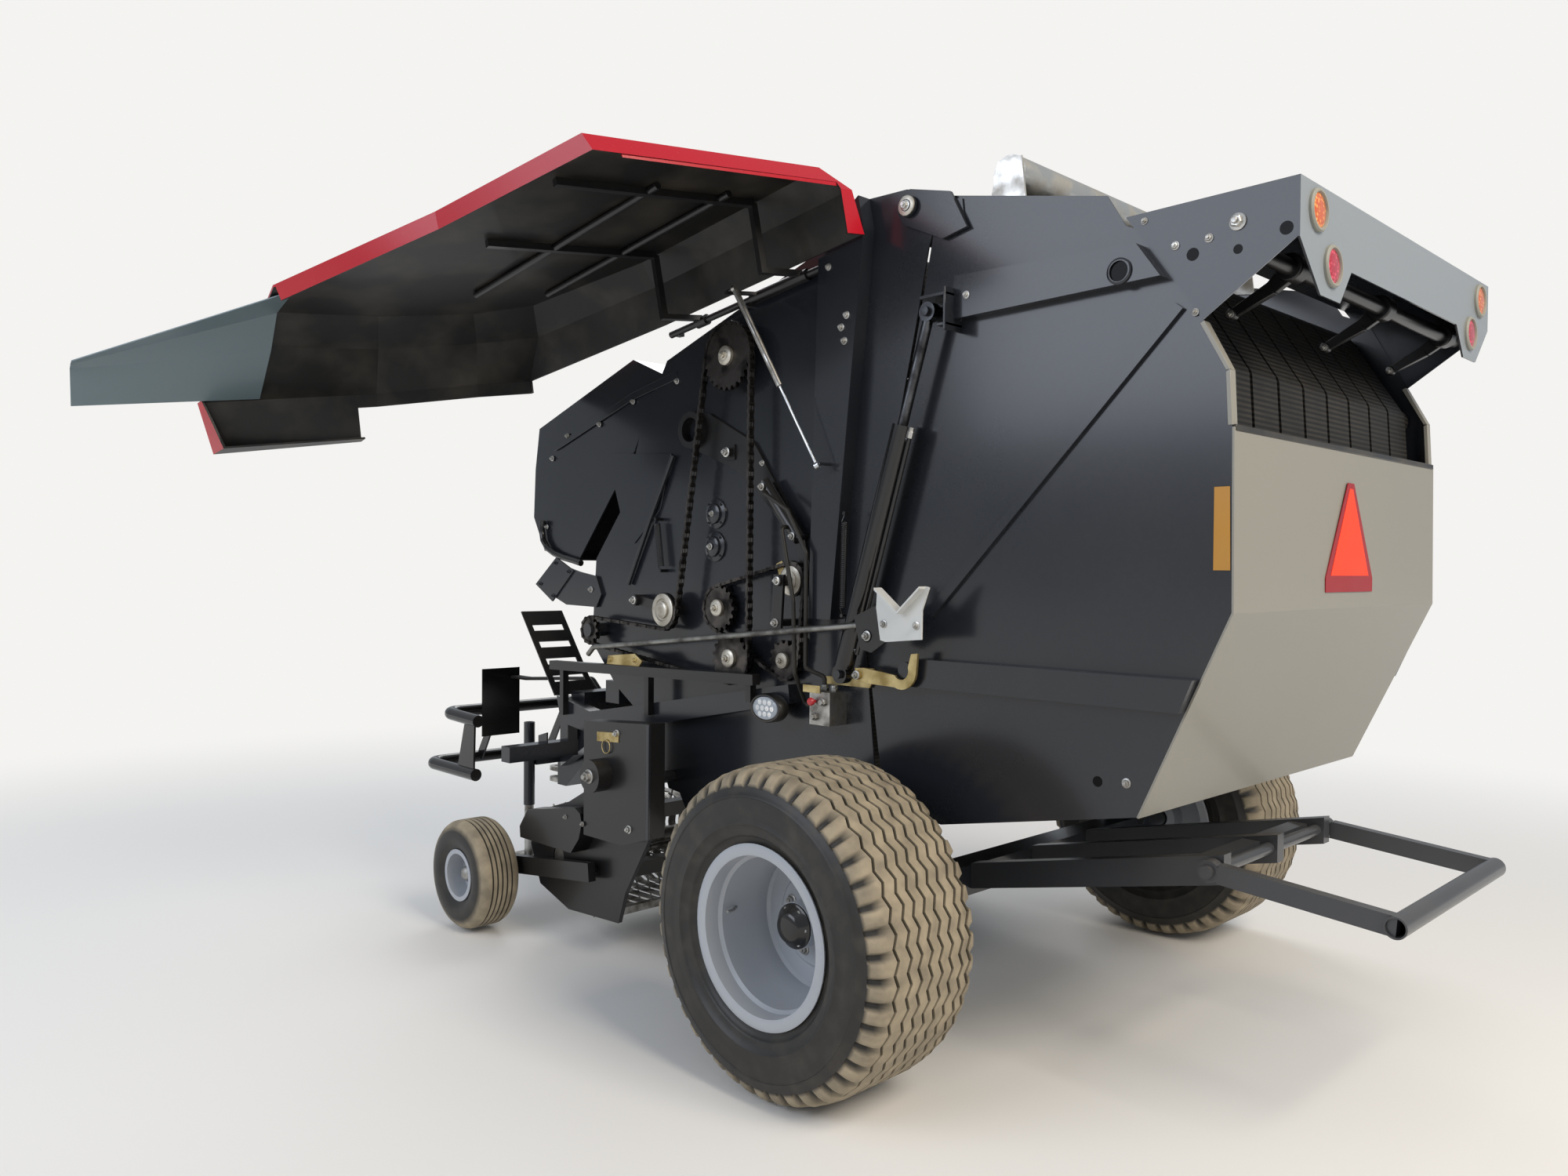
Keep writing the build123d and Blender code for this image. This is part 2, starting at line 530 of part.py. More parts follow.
drive_chains.part.label = "drive_chains"
export_step(drive_chains.part, "parts/drive_chains.step")

# Belt tension arm: a pivot tube, the arm plate, the cylinder that pulls it and the levers of two idlers
ARM_SHEET = 14
ARM_PIVOT = (-1045, 2248)
NUT_PLATE_AT = (-823, 2142)
LEVER_FROM = 930
LEVER_TO = 942
LEVER_STUD_AT = (-468, 1480)
IDLER_LEVER_AT = (-1400, 1541)
IDLER_LEVER_Y = 862
with BuildPart() as tension_arm:
    pivot_s, pivot_h = ARM_PIVOT
    rod(spot(pivot_s, -HALF, pivot_h), spot(pivot_s, -HALF - 44, pivot_h), 75)
    nut_s, nut_h = NUT_PLATE_AT
    bar(spot(nut_s, -HALF - ARM_SHEET + 1, nut_h), spot(nut_s, -HALF - ARM_SHEET - 8, nut_h), 60, 60)
    rod(spot(nut_s, -HALF - ARM_SHEET, nut_h), spot(nut_s, -HALF - ARM_SHEET - 24, nut_h), 17)
    wheel_s, wheel_h = TENSIONER_AT
    lever_s, lever_h = LEVER_STUD_AT
    plate([at(wheel_s - 28, wheel_h + 23), at(wheel_s + 25, wheel_h + 23), at(lever_s + 28, lever_h - 35),
           at(lever_s - 28, lever_h - 35)], -LEVER_FROM, -LEVER_TO)
    rod(spot(lever_s, -HALF, lever_h), spot(lever_s, -LEVER_FROM - 1, lever_h), 14)
    rod(spot(wheel_s, -HUB_END_Y - SEAT_GAP, wheel_h), spot(wheel_s, -LEVER_TO - 10, wheel_h), 20)
    idler_s, idler_h = IDLER_LEVER_AT
    rod(spot(idler_s, -HALF, idler_h), spot(idler_s, -IDLER_LEVER_Y - 33, idler_h), 24)
    bar(spot(idler_s, -IDLER_LEVER_Y, idler_h), spot(-1200, -IDLER_LEVER_Y, 1511), 30, 40)
    plate([at(-1060, 2323), at(-960, 2310), at(-689, 2172), at(-411, 1802), at(-352, 1600), at(-380, 1600),
           at(-460, 1770), at(-588, 1909), at(-791, 2072), at(-1060, 2173)], -HALF, -HALF - ARM_SHEET)
    rod(spot(-590, -HALF - 48, 2010), spot(-400, -HALF - 48, 1790), 24)
    rod(spot(-575, -HALF, 1992), spot(-575, -HALF - 78, 1992), 12)
    rod(spot(-410, -HALF, 1802), spot(-410, -HALF - 78, 1802), 12)
    rod(spot(pivot_s, -HALF, pivot_h), spot(pivot_s, -HALF - 45, pivot_h), 50, mode=Mode.SUBTRACT)
tension_arm.part.label = "tension_arm"
export_step(tension_arm.part, "parts/tension_arm.step")

# Hinge bars of the side shields
HINGE_BAR_RADIUS = 14
HINGE_LENGTH = 930
with BuildPart() as hinge_bars:
    for name, hand in SIDES:
        s, h = HINGE_REAR
        start = spot(s - 60, hand * HINGE_Y, h - 60 * math.tan(slope))
        end = spot(s - HINGE_LENGTH, hand * HINGE_Y, h - HINGE_LENGTH * math.tan(slope))
        rod(start, end, HINGE_BAR_RADIUS)
        for back in (75, 480, 900):
            h_here = h - back * math.tan(slope)
            plate([at(s - back - 15, h_here - 12), at(s - back + 15, h_here - 12),
                   at(s - back + 15, h_here + 12), at(s - back - 15, h_here + 12)],
                  hand * HALF, hand * (HINGE_Y - 4))
hinge_bars.part.label = "hinge_bars"
export_step(hinge_bars.part, "parts/hinge_bars.step")

# Lower rails on both sides: the shield's catch rail, the slotted front panel and the long latch bar
RAIL_Y = 950
RAIL_SIZE = 40
LATCH_BAR_Y = 962
LATCH_BAR_RADIUS = 11
LATCH_BAR_END = 1495
BAR_ARM_FROM = 970
BAR_ARM_TO = 979
PANEL_INNER = 700
PANEL_OUTER = 930
with BuildPart() as side_rails:
    for name, hand in SIDES:
        bar(spot(-1940, hand * RAIL_Y, 1230), spot(-560, hand * RAIL_Y, 1262), RAIL_SIZE, RAIL_SIZE)
        for s, low, high in ((-1900, 1000, 1225), (-1262, 1060, 1262), (-628, 1170, 1270)):
            plate([at(s - 14, low), at(s + 14, low), at(s + 14, high), at(s - 14, high)],
                  hand * (HALF + ARM_WIDTH), hand * (RAIL_Y - RAIL_SIZE / 2))
        beam_front = FRONT_BEAM_AT[0] - FRONT_BEAM / 2
        foot, fold, top = (beam_front, 1010 - HITCH_HEIGHT), (beam_front, 1080 - HITCH_HEIGHT), at(-2247, 1466)
        plate(band([foot, fold, top], SHEET), hand * PANEL_INNER, hand * HALF)
        plate(band([(beam_front - 5, 1087 - HITCH_HEIGHT), top], SHEET), hand * HALF, hand * PANEL_OUTER)
        for share in (0.2, 0.4, 0.6, 0.8):
            slot = [fold[0] + (top[0] - fold[0]) * share, fold[1] + (top[1] - fold[1]) * share]
            plate([(slot[0] - 27, slot[1] + 2), (slot[0] + 5, slot[1] + 26), (slot[0] + 27, slot[1] - 2),
                   (slot[0] - 5, slot[1] - 26)], hand * (PANEL_INNER + 30), hand * (PANEL_OUTER - 30),
                  mode=Mode.SUBTRACT)
    front_hook, front_end = spot(-1600, -LATCH_BAR_Y, 1330), spot(-1640, -LATCH_BAR_Y, 1296)
    bent_rod([front_end, front_hook, spot(20, -LATCH_BAR_Y, LATCH_BAR_END)], LATCH_BAR_RADIUS, 30)
    for s, h in ((-1500, 1340), (-300, 1462)):
        rod(spot(s, -HALF - (POST_DEPTH if s > -1000 else 0), h), spot(s, -LATCH_BAR_Y, h), 9)
    plate([at(-40, 1520), at(60, 1560), at(130, 1550), at(120, 1450), at(40, 1400), at(-10, 1410)],
          -BAR_ARM_FROM, -BAR_ARM_TO)
    rod(spot(20, -BAR_ARM_FROM + 2, 1456), spot(20, -BAR_ARM_TO - 1, 1456), 22, mode=Mode.SUBTRACT)
side_rails.part.label = "side_rails"
export_step(side_rails.part, "parts/side_rails.step")

# Lock bracket: a folded plate with a notch on top, bolted to the dark arm at the end of the latch bar
with BuildPart() as lock_bracket:
    face_y = BAR_ARM_TO + SEAT_GAP
    plate([at(66, 1552), at(69, 1621), at(84, 1621), at(183, 1545), at(276, 1628), at(291, 1625),
           at(262, 1550), at(261, 1455), at(109, 1440), at(85, 1445)], -face_y, -face_y - 6)
    plate([at(84, 1621), at(183, 1545), at(276, 1628), at(276, 1620), at(183, 1537), at(84, 1613)],
          -face_y - 5, -face_y - 40)
lock_bracket.part.label = "lock_bracket"
export_step(lock_bracket.part, "parts/lock_bracket.step")

# Gate hooks: on each side a hooked plate on its bracket, which takes a roller of the tailgate
HOOK_PIVOT_AT = (-85, 1312)
HOOK_ROLLER_AT = (108, 1341)
HOOK_ROLLER_RADIUS = 27
HOOK_ROLLER_END = 50
HOOK_FROM = 895
HOOK_TO = 905
BRACKET_FROM = HALF + MOVING_GAP
with BuildPart() as gate_hooks:
    roller_x, roller_z = at(*HOOK_ROLLER_AT)
    inner_edge = [(roller_x + 33 * math.cos(math.radians(a)), roller_z + 33 * math.sin(math.radians(a)))
                  for a in range(215, 381, 15)]
    outer_edge = [(roller_x + 66 * math.cos(math.radians(a)), roller_z + 66 * math.sin(math.radians(a)))
                  for a in range(350, 244, -15)]
    hook_outline = ([at(-100, 1335), at(-60, 1338)] + inner_edge
                    + [at(152, 1398), at(180, 1402)] + outer_edge + [at(-70, 1286), at(-100, 1290)])
    for name, hand in SIDES:
        plate([at(-290, 1262), at(-290, 1290), at(-190, 1290), at(-190, 1262)], hand * HALF,
              hand * BRACKET_FROM)
        plate([at(-290, 1262), at(-290, 1290), at(-122, 1290), at(-108, 1332), at(-62, 1332), at(-62, 1290),
               at(-80, 1262)], hand * BRACKET_FROM, hand * (BRACKET_FROM + 8))
        pivot_s, pivot_h = HOOK_PIVOT_AT
        rod(spot(pivot_s, hand * BRACKET_FROM, pivot_h), spot(pivot_s, hand * (HOOK_TO + 10), pivot_h), 16)
        plate(hook_outline, hand * HOOK_FROM, hand * HOOK_TO)
gate_hooks.part.label = "gate_hooks"
export_step(gate_hooks.part, "parts/gate_hooks.step")

# Work lamp and hydraulic valve block on the left
with BuildPart() as work_lamp:
    with BuildSketch(Plane.XZ.offset(HALF + ARM_WIDTH)) as body:
        with Locations(at(-514, 1159)):
            Ellipse(85, 55)
    extrude(body.sketch, amount=50)
work_lamp.part.label = "work_lamp"
export_step(work_lamp.part, "parts/work_lamp.step")
with BuildPart() as valve_block:
    plate([at(-300, 1120), at(-200, 1120), at(-200, 1240), at(-300, 1240)], -HALF, -HALF - 90)
valve_block.part.label = "valve_block"
export_step(valve_block.part, "parts/valve_block.step")

# Hydraulic hoses on the chassis: from the front panel to the beam, and down to the valve block
HOSE_RADIUS = 8
HOSE_Y = 920
HOSE_APART = 20
GUARD_PANEL_FACE = -2735
CYLINDER_SIDE = HALF + 72 + SEAT_GAP
with BuildPart() as hoses:
    beam_front_s = FRONT_BEAM_AT[0] - FRONT_BEAM / 2 - HITCH_TO_AXLE
    for index in range(3):
        y_front, y_rear = -650 - 18 * index, -580 - 20 * index
        bent_rod([spot(GUARD_PANEL_FACE + SEAT_GAP, y_front, 1100), spot(-2600, y_front, 1100),
                  spot(-2150, y_rear, 1130), spot(-2060, y_rear, 1055),
                  spot(beam_front_s - SEAT_GAP, y_rear, 1055)], HOSE_RADIUS, 40)
    y = -HOSE_Y
    bent_rod([spot(-556, -CYLINDER_SIDE, 1971), spot(-556, y - 10, 1971), spot(-430, y, 1900), spot(-330, y, 1740),
              spot(-330, y, 1320), spot(-270, y + 40, 1290), spot(-270, y + 40, 1240 + SEAT_GAP)],
             HOSE_RADIUS, 18)
    y = -HOSE_Y - HOSE_APART
    bent_rod([spot(-440, -CYLINDER_SIDE, 1836), spot(-440, y, 1836), spot(-375, y, 1560), spot(-365, y, 1300),
              spot(-365, y + 60, 1180), spot(-300 - SEAT_GAP, y + 60, 1180)], HOSE_RADIUS, 18)
hoses.part.label = "hoses"
export_step(hoses.part, "parts/hoses.step")

# Ramp arms behind the axle, with the cross tube that the push bar turns on
RAMP_Y = 400
RAMP_HEIGHT = 95
RAMP_FRONT = (AXLE_BEAM / 2, 498)
RAMP_REAR = (1020, 705)
RAMP_TUBE_AT = (990, 750)
RAMP_TUBE_RADIUS = 20
with BuildPart() as ramp_arms:
    for y in (-RAMP_Y, 0, RAMP_Y):
        front_s, front_h = RAMP_FRONT
        rear_s, rear_h = RAMP_REAR
        plate([at(front_s, front_h), at(front_s, front_h + RAMP_HEIGHT), at(rear_s, rear_h + RAMP_HEIGHT),
               at(rear_s, rear_h)], y - 25, y + 25)
    s, h = RAMP_TUBE_AT
    rod(spot(s, -RAMP_Y - 90, h), spot(s, RAMP_Y + 90, h), RAMP_TUBE_RADIUS)
    bar(spot(s - 60, -RAMP_Y, h - 12), spot(s - 60, RAMP_Y, h - 12), 60, 60)
ramp_arms.part.label = "ramp_arms"
export_step(ramp_arms.part, "parts/ramp_arms.step")

# Push bar: a U of box tube hinged on the ramp's cross tube
PUSH_Y = RAMP_Y + 52
PUSH_END = (1535, 700)
with BuildPart() as push_bar:
    s, h = RAMP_TUBE_AT
    end_s, end_h = PUSH_END
    for name, hand in SIDES:
        bar(spot(s + 30, hand * PUSH_Y, h - 3), spot(end_s, hand * PUSH_Y, end_h), 40, 60)
        rod(spot(s, hand * (PUSH_Y - 20), h), spot(s, hand * (PUSH_Y + 20), h), 36)
    tube(spot(end_s, -PUSH_Y - 30, end_h), spot(end_s, PUSH_Y + 30, end_h), 32, 5)
    rod(spot(s, -PUSH_Y - 40, h), spot(s, PUSH_Y + 40, h), RAMP_TUBE_RADIUS + RUNNING_CLEARANCE,
        mode=Mode.SUBTRACT)
push_bar.part.label = "push_bar"
export_step(push_bar.part, "parts/push_bar.step")

# Tailgate sides: plate with the horizontal rib, upper beam, brace and the hinge ear
REAR_TOP = at(1216, 2078)
REAR_FOLD = at(1221, 1570)
REAR_LOW = at(946, 965)
gate_outline = [at(190, 2935), at(827, 2791), at(889, 2690), at(986, 2644), at(1130, 2381), at(1208, 2236),
                REAR_TOP, REAR_FOLD, REAR_LOW, at(232, 827), at(-10, 860), at(-48, 1050),
                at(-87, 1312), at(-125, 1533), at(-18, 1915), at(115, 2498), at(180, 2820)]
CYLINDER_HEAD = at(220, 2530)
for name, hand in SIDES:
    with BuildPart() as gate_side:
        plate(gate_outline, hand * INNER, hand * HALF)
        ear = [at(30, 2915), at(90, 2975), at(260, 2930), at(330, 2800), at(230, 2780), at(60, 2860)]
        plate(ear, hand * (HALF + EAR_FROM), hand * (HALF + EAR_TO))
        plate([at(205, 2920), at(300, 2900), at(310, 2820), at(205, 2800)], hand * HALF,
              hand * (HALF + EAR_FROM))
        x, z = GATE_PIVOT
        rod((x, hand * (HALF + 1), z), (x, hand * (HALF + 60), z), GATE_PIN_RADIUS + RUNNING_CLEARANCE,
            mode=Mode.SUBTRACT)
        plate([at(150, 1380), at(1130, 1380), at(1090, 1285), at(130, 1285)], hand * HALF,
              hand * (HALF + 40))
        roller_s, roller_h = HOOK_ROLLER_AT
        rod(spot(roller_s, hand * HALF, roller_h), spot(roller_s, hand * (HALF + HOOK_ROLLER_END), roller_h),
            HOOK_ROLLER_RADIUS)
        plate([at(300, 2640), at(290, 2500), at(1022, 2515), at(946, 2620)], hand * HALF, hand * (HALF + 45))
        plate([at(170, 1540), at(195, 1520), at(1075, 2420), at(1050, 2440)], hand * HALF,
              hand * (HALF + 14))
        x, z = CYLINDER_HEAD
        rod((x, hand * HALF, z), (x, hand * (CYLINDER_Y - CYLINDER_EYE_HALF - SEAT_GAP), z),
            CYLINDER_BOSS_RADIUS)
    gate_side.part.label = "gate_side_" + name
    export_step(gate_side.part, "parts/gate_side_" + name + ".step")

# Rear panel: one folded sheet across the tailgate
with BuildPart() as rear_panel:
    plate(band([REAR_LOW, REAR_FOLD, REAR_TOP], -SHEET), -HALF, HALF)
rear_panel.part.label = "rear_panel"
export_step(rear_panel.part, "parts/rear_panel.step")

# Belts and rollers of the tailgate
GATE_ROLLERS = ((330, 2710, 75, 1), (900, 2530, 60, 1), (1090, 2250, 50, 1), (1120, 1640, 60, 1),
                (850, 1140, 60, 1), (300, 1000, 85, 1))
with BuildPart() as gate_belts:
    circles = [(*at(s, h), radius, side) for s, h, radius, side in GATE_ROLLERS]
    belt = band(over(grown(circles, SEAT_GAP)), BELT_THICKNESS)
    for index in range(BELT_COUNT):
        middle = (index - (BELT_COUNT - 1) / 2) * BELT_PITCH
        plate(belt, middle - BELT_WIDTH / 2, middle + BELT_WIDTH / 2)
    for x, z, radius, side in circles:
        roller((x, z), radius, 22, ROLLER_HALF, INNER)
gate_belts.part.label = "gate_belts"
export_step(gate_belts.part, "parts/gate_belts.step")

# Top roller above the tailgate, in its end plates
with BuildPart() as top_roller:
    x, z = at(470, 2945)
    rod((x, -INNER + 8, z), (x, INNER - 8, z), 60)
    for hand in (-1, 1):
        plate([at(400, 2850), at(540, 2830), at(520, 2990), at(430, 2990)], hand * (INNER - 8), hand * INNER)
top_roller.part.label = "top_roller"
export_step(top_roller.part, "parts/top_roller.step")

# Lamp hood over the rear opening
with BuildPart() as lamp_hood:
    hood_side = [at(891, 2713), at(1392, 2721), at(1388, 2563), at(1130, 2381)]
    for hand in (-1, 1):
        plate(hood_side, hand * HALF, hand * (HALF + 4))
    plate([at(891, 2713), at(891, 2709), at(1388, 2717), at(1388, 2721)], -HALF, HALF)
    with BuildSketch(Plane.YZ.offset(HITCH_TO_AXLE + 1386)) as rear_face:
        with BuildLine():
            low, high = 2480 - HITCH_HEIGHT, 2721 - HITCH_HEIGHT
            Polyline((-HALF - 4, high), (HALF + 4, high), (HALF + 4, low + 80), (700, low - 50),
                     (560, low - 50), (480, low + 50), (-480, low + 50), (-560, low - 50), (-700, low - 50),
                     (-HALF - 4, low + 80), close=True)
        make_face()
    extrude(rear_face.sketch, amount=6)
lamp_hood.part.label = "lamp_hood"
export_step(lamp_hood.part, "parts/lamp_hood.step")

# Rear lamps, reflectors and the slow vehicle emblem
LAMPS = (("amber", 730, 2650, 55), ("red", 625, 2520, 55))
with BuildPart() as rear_lamps:
    for colour, y, height, radius in LAMPS:
        for hand in (-1, 1):
            rod(spot(1392, hand * y, height), spot(1404, hand * y, height), radius)
rear_lamps.part.label = "rear_lamps"
export_step(rear_lamps.part, "parts/rear_lamps.step")
with BuildPart() as emblem:
    with BuildSketch(Plane.YZ.offset(HITCH_TO_AXLE + 1226.8)) as triangle:
        with BuildLine():
            base = 1620 - HITCH_HEIGHT
            Polyline((-200, base), (200, base), (200, base + 45), (25, base + 350), (-25, base + 350),
                     (-200, base + 45), close=True)
        make_face()
    extrude(triangle.sketch, amount=3)
emblem.part.label = "emblem"
export_step(emblem.part, "parts/emblem.step")

# Tailgate cylinders: a barrel on the chamber side and a rod to the gate
foot = Vector(*CYLINDER_FOOT)
head = Vector(*CYLINDER_HEAD)
along = (head - foot).normalized()
beside = Vector(along.Y, -along.X)
BARREL_LENGTH = 900
RAM_RADIUS = 18
for name, hand in SIDES:
    y = hand * CYLINDER_Y
    with BuildPart() as gate_cylinder:
        top = foot + along * BARREL_LENGTH
        start = foot + along * 28
        rod((start.X, y, start.Y), (top.X, y, top.Y), 35)
        rod((foot.X, y - CYLINDER_EYE_HALF, foot.Y), (foot.X, y + CYLINDER_EYE_HALF, foot.Y), 34)
        rod((foot.X, y - 40, foot.Y), (foot.X, y + 40, foot.Y), CYLINDER_PIN_RADIUS + RUNNING_CLEARANCE,
            mode=Mode.SUBTRACT)
        pipe_foot, pipe_top = foot + along * 90 + beside * 42, foot + along * (BARREL_LENGTH - 30) + beside * 42
        rod((pipe_foot.X, y, pipe_foot.Y), (pipe_top.X, y, pipe_top.Y), 8)
        for point in (pipe_foot + along * 12, pipe_top - along * 12):
            port = point - beside * 20
            rod((port.X, y, port.Y), (point.X, y, point.Y), 12)
        bore_foot, bore_top = foot + along * 60, top + along
        rod((bore_foot.X, y, bore_foot.Y), (bore_top.X, y, bore_top.Y), RAM_RADIUS + RUNNING_CLEARANCE,
            mode=Mode.SUBTRACT)
    gate_cylinder.part.label = "gate_cylinder_" + name
    export_step(gate_cylinder.part, "parts/gate_cylinder_" + name + ".step")
    with BuildPart() as gate_rod:
        start = foot + along * 300
        stop = head - along * 20
        rod((start.X, y, start.Y), (stop.X, y, stop.Y), RAM_RADIUS)
        rod((head.X, y - CYLINDER_EYE_HALF, head.Y), (head.X, y + CYLINDER_EYE_HALF, head.Y), 32)
        rod((head.X, y, head.Y), (head.X, y + hand * (CYLINDER_EYE_HALF + 14), head.Y), CYLINDER_PIN_RADIUS)
    gate_rod.part.label = "gate_rod_" + name
    export_step(gate_rod.part, "parts/gate_rod_" + name + ".step")

# Side shields, drawn closed: a moulded tray and its steel frame with the nose sheet
# Columns: distance from the middle plane, then nine corners of the outline, clockwise from the top rear
SHIELD_SECTIONS = (
    (1150, ((-110, 2660), (-1100, 2520), (-1700, 2310), (-1850, 2090), (-1930, 1700), (-1910, 1240),
            (-1600, 1210), (-780, 1540), (-100, 1745))),
    (1060, ((-60, 2750), (-1150, 2597), (-1900, 2410), (-2020, 2160), (-2130, 1750), (-2120, 1290),
            (-1620, 1225), (-780, 1545), (-60, 1765))),
    (905, ((-60, 2776), (-1160, 2622), (-2090, 2430), (-2150, 2190), (-2310, 1775), (-2440, 1060),
           (-1640, 1240), (-780, 1550), (-60, 1770))),
    (700, ((-60, 2776), (-1160, 2622), (-2110, 2420), (-2165, 2180), (-2330, 1770), (-2520, 1110),
           (-1640, 1240), (-780, 1550), (-60, 1770))))
SHIELD_RIM_Y = 1090
SHIELD_WALL_Y = 905
SHIELD_FRONT_Y = 700
RETURN_LINE = ((-2060, 3000), (-2060, 2600), (-2080, 2415), (-2120, 2180), (-2275, 1765), (-2400, 1120),
               (-2400, 900), (300, 900), (300, 3000))
LOWER_LINE = ((-2400, 900), (-2400, 1120), (-1950, 1340), (-780, 1640), (-78, 1860), (-78, 2700),
              (300, 2700), (300, 900))
HOOD_CUT = ((-2600, 1690), (-2600, 3000), (300, 3000), (300, 1690))
HOOD_PASS = 12
JOINT_CUT = ((-2440, 1000), (-2100, 1290), (-1590, 1260), (-1590, 1150))


def shell(sections, thickness):
    """A solid through outlines across the machine; with a thickness, the hollow that lies inside it."""
    faces = []
    for index, (y, corners) in enumerate(sections):
        outline = [at(s, h) for s, h in corners]
        outline = inset(outline, thickness) if thickness else outline
        shift = thickness if index == 0 else -thickness if index == len(sections) - 1 else 0
        with BuildSketch(Plane.XZ.offset(y - shift)) as face:
            with BuildLine():
                Polyline(*outline, close=True)
            make_face()
        faces.append(face.sketch)
    return loft(faces, ruled=True)


with BuildPart() as closed_shield:
    add(shell(SHIELD_SECTIONS, 0))
    add(shell(SHIELD_SECTIONS, SHIELD_SHEET), mode=Mode.SUBTRACT)
    plate([at(s, h) for s, h in RETURN_LINE], -SHIELD_WALL_Y, -SHIELD_FRONT_Y + 20, mode=Mode.SUBTRACT)
    plate([at(s, h) for s, h in LOWER_LINE], -SHIELD_RIM_Y, -SHIELD_FRONT_Y + 20, mode=Mode.SUBTRACT)
    plate([at(s, h) for s, h in HOOD_CUT], -HALF - HOOD_PASS, -SHIELD_FRONT_Y + 20, mode=Mode.SUBTRACT)
    plate([at(s, h) for s, h in JOINT_CUT], -SHIELD_PANEL_Y + SHIELD_SHEET, -SHIELD_RIM_Y + 5,
          mode=Mode.SUBTRACT)
SLEEVE_RADIUS = 22
RIB = 25
RIB_DROP = 180
STRUT_ROOM = 6.5
with BuildPart() as closed_frame:
    s, h = HINGE_REAR
    inside = SHIELD_PANEL_Y - SHIELD_SHEET - RIB / 2
    for back, length in ((130, 300), (700, 60)):
        middle = back + 30
        h_from, h_here, h_to = (h - run * math.tan(slope) for run in (back, middle, back + length))
        rod(spot(s - back, -HINGE_Y, h_from), spot(s - back - length, -HINGE_Y, h_to), SLEEVE_RADIUS)
        rib_s, rib_h = s - middle, h_here - RIB_DROP
        bar(spot(rib_s, -HINGE_Y - 12, h_here), spot(rib_s, -HINGE_Y - 12, rib_h - 12), 20, RIB)
        bar(spot(rib_s, -HINGE_Y - 4, rib_h), spot(rib_s, -inside, rib_h), RIB, RIB)
        bar(spot(rib_s, -inside, rib_h), spot(rib_s, -inside, 1800), RIB, RIB)
    arm = strut_closed + hinge_axis.direction * (STRUT_EYE_HALF + STRUT_ROOM + 25)
    bar((arm.X, arm.Y + 4, arm.Z - 8), (arm.X, arm.Y + 4, arm.Z + 150), 12, 16)
    shank_end = strut_closed + hinge_axis.direction * (STRUT_EYE_HALF + STRUT_ROOM)
    shank_root = strut_closed + hinge_axis.direction * (STRUT_EYE_HALF + 28)
    rod(tuple(shank_end), tuple(shank_root), STRUT_PIN_RADIUS)
    for drop, tail in ((330, 1250), (620, 1300)):
        rod(spot(s - 100, -inside, h - 100 * math.tan(slope) - drop),
            spot(s - tail, -inside, h - tail * math.tan(slope) - drop), RIB / 2)
    start = spot(s, -HINGE_Y, h)
    end = spot(s - HINGE_LENGTH, -HINGE_Y, h - HINGE_LENGTH * math.tan(slope))
    rod(start, end, HINGE_BAR_RADIUS + RUNNING_CLEARANCE, mode=Mode.SUBTRACT)
# Steel nose under the shield's front, folded in plan and narrower at its tip
# Columns: height, then the folds as (behind the axle, distance from the middle plane)
NOSE_SHEET = 4
NOSE_SEAT = SHIELD_PANEL_Y - SHIELD_SHEET - SEAT_GAP
NOSE_TOP = (1290, ((-1620, NOSE_SEAT), (-1900, NOSE_SEAT), (-2070, 1035), (-2360, 905)))
NOSE_TIP = (600, ((-2235, 1032), (-2275, 1030), (-2320, 1022), (-2450, 905)))
with BuildPart() as closed_nose:
    faces = []
    for height, folds in (NOSE_TOP, NOSE_TIP):
        line = [(HITCH_TO_AXLE + s, -y) for s, y in folds]
        with BuildSketch(Plane.XY.offset(height - HITCH_HEIGHT)) as face:
            with BuildLine():
                Polyline(*band(line, -NOSE_SHEET), close=True)
            make_face()
        faces.append(face.sketch)
    loft(faces, ruled=True)
with BuildPart() as shield_left:
    add(closed_shield.part.rotate(hinge_axis, SHIELD_OPEN_ANGLE))
shield_left.part.label = "shield_left"
export_step(shield_left.part, "parts/shield_left.step")
with BuildPart() as shield_frame_left:
    add(closed_frame.part.rotate(hinge_axis, SHIELD_OPEN_ANGLE))
shield_frame_left.part.label = "shield_frame_left"
export_step(shield_frame_left.part, "parts/shield_frame_left.step")
with BuildPart() as shield_nose_left:
    add(closed_nose.part.rotate(hinge_axis, SHIELD_OPEN_ANGLE))
shield_nose_left.part.label = "shield_nose_left"
export_step(shield_nose_left.part, "parts/shield_nose_left.step")
with BuildPart() as shield_nose_right:
    add(closed_nose.part.mirror(Plane.XZ))
shield_nose_right.part.label = "shield_nose_right"
export_step(shield_nose_right.part, "parts/shield_nose_right.step")
with BuildPart() as shield_right:
    add(closed_shield.part.mirror(Plane.XZ))
shield_right.part.label = "shield_right"
export_step(shield_right.part, "parts/shield_right.step")
with BuildPart() as shield_frame_right:
    add(closed_frame.part.mirror(Plane.XZ))
shield_frame_right.part.label = "shield_frame_right"
export_step(shield_frame_right.part, "parts/shield_frame_right.step")

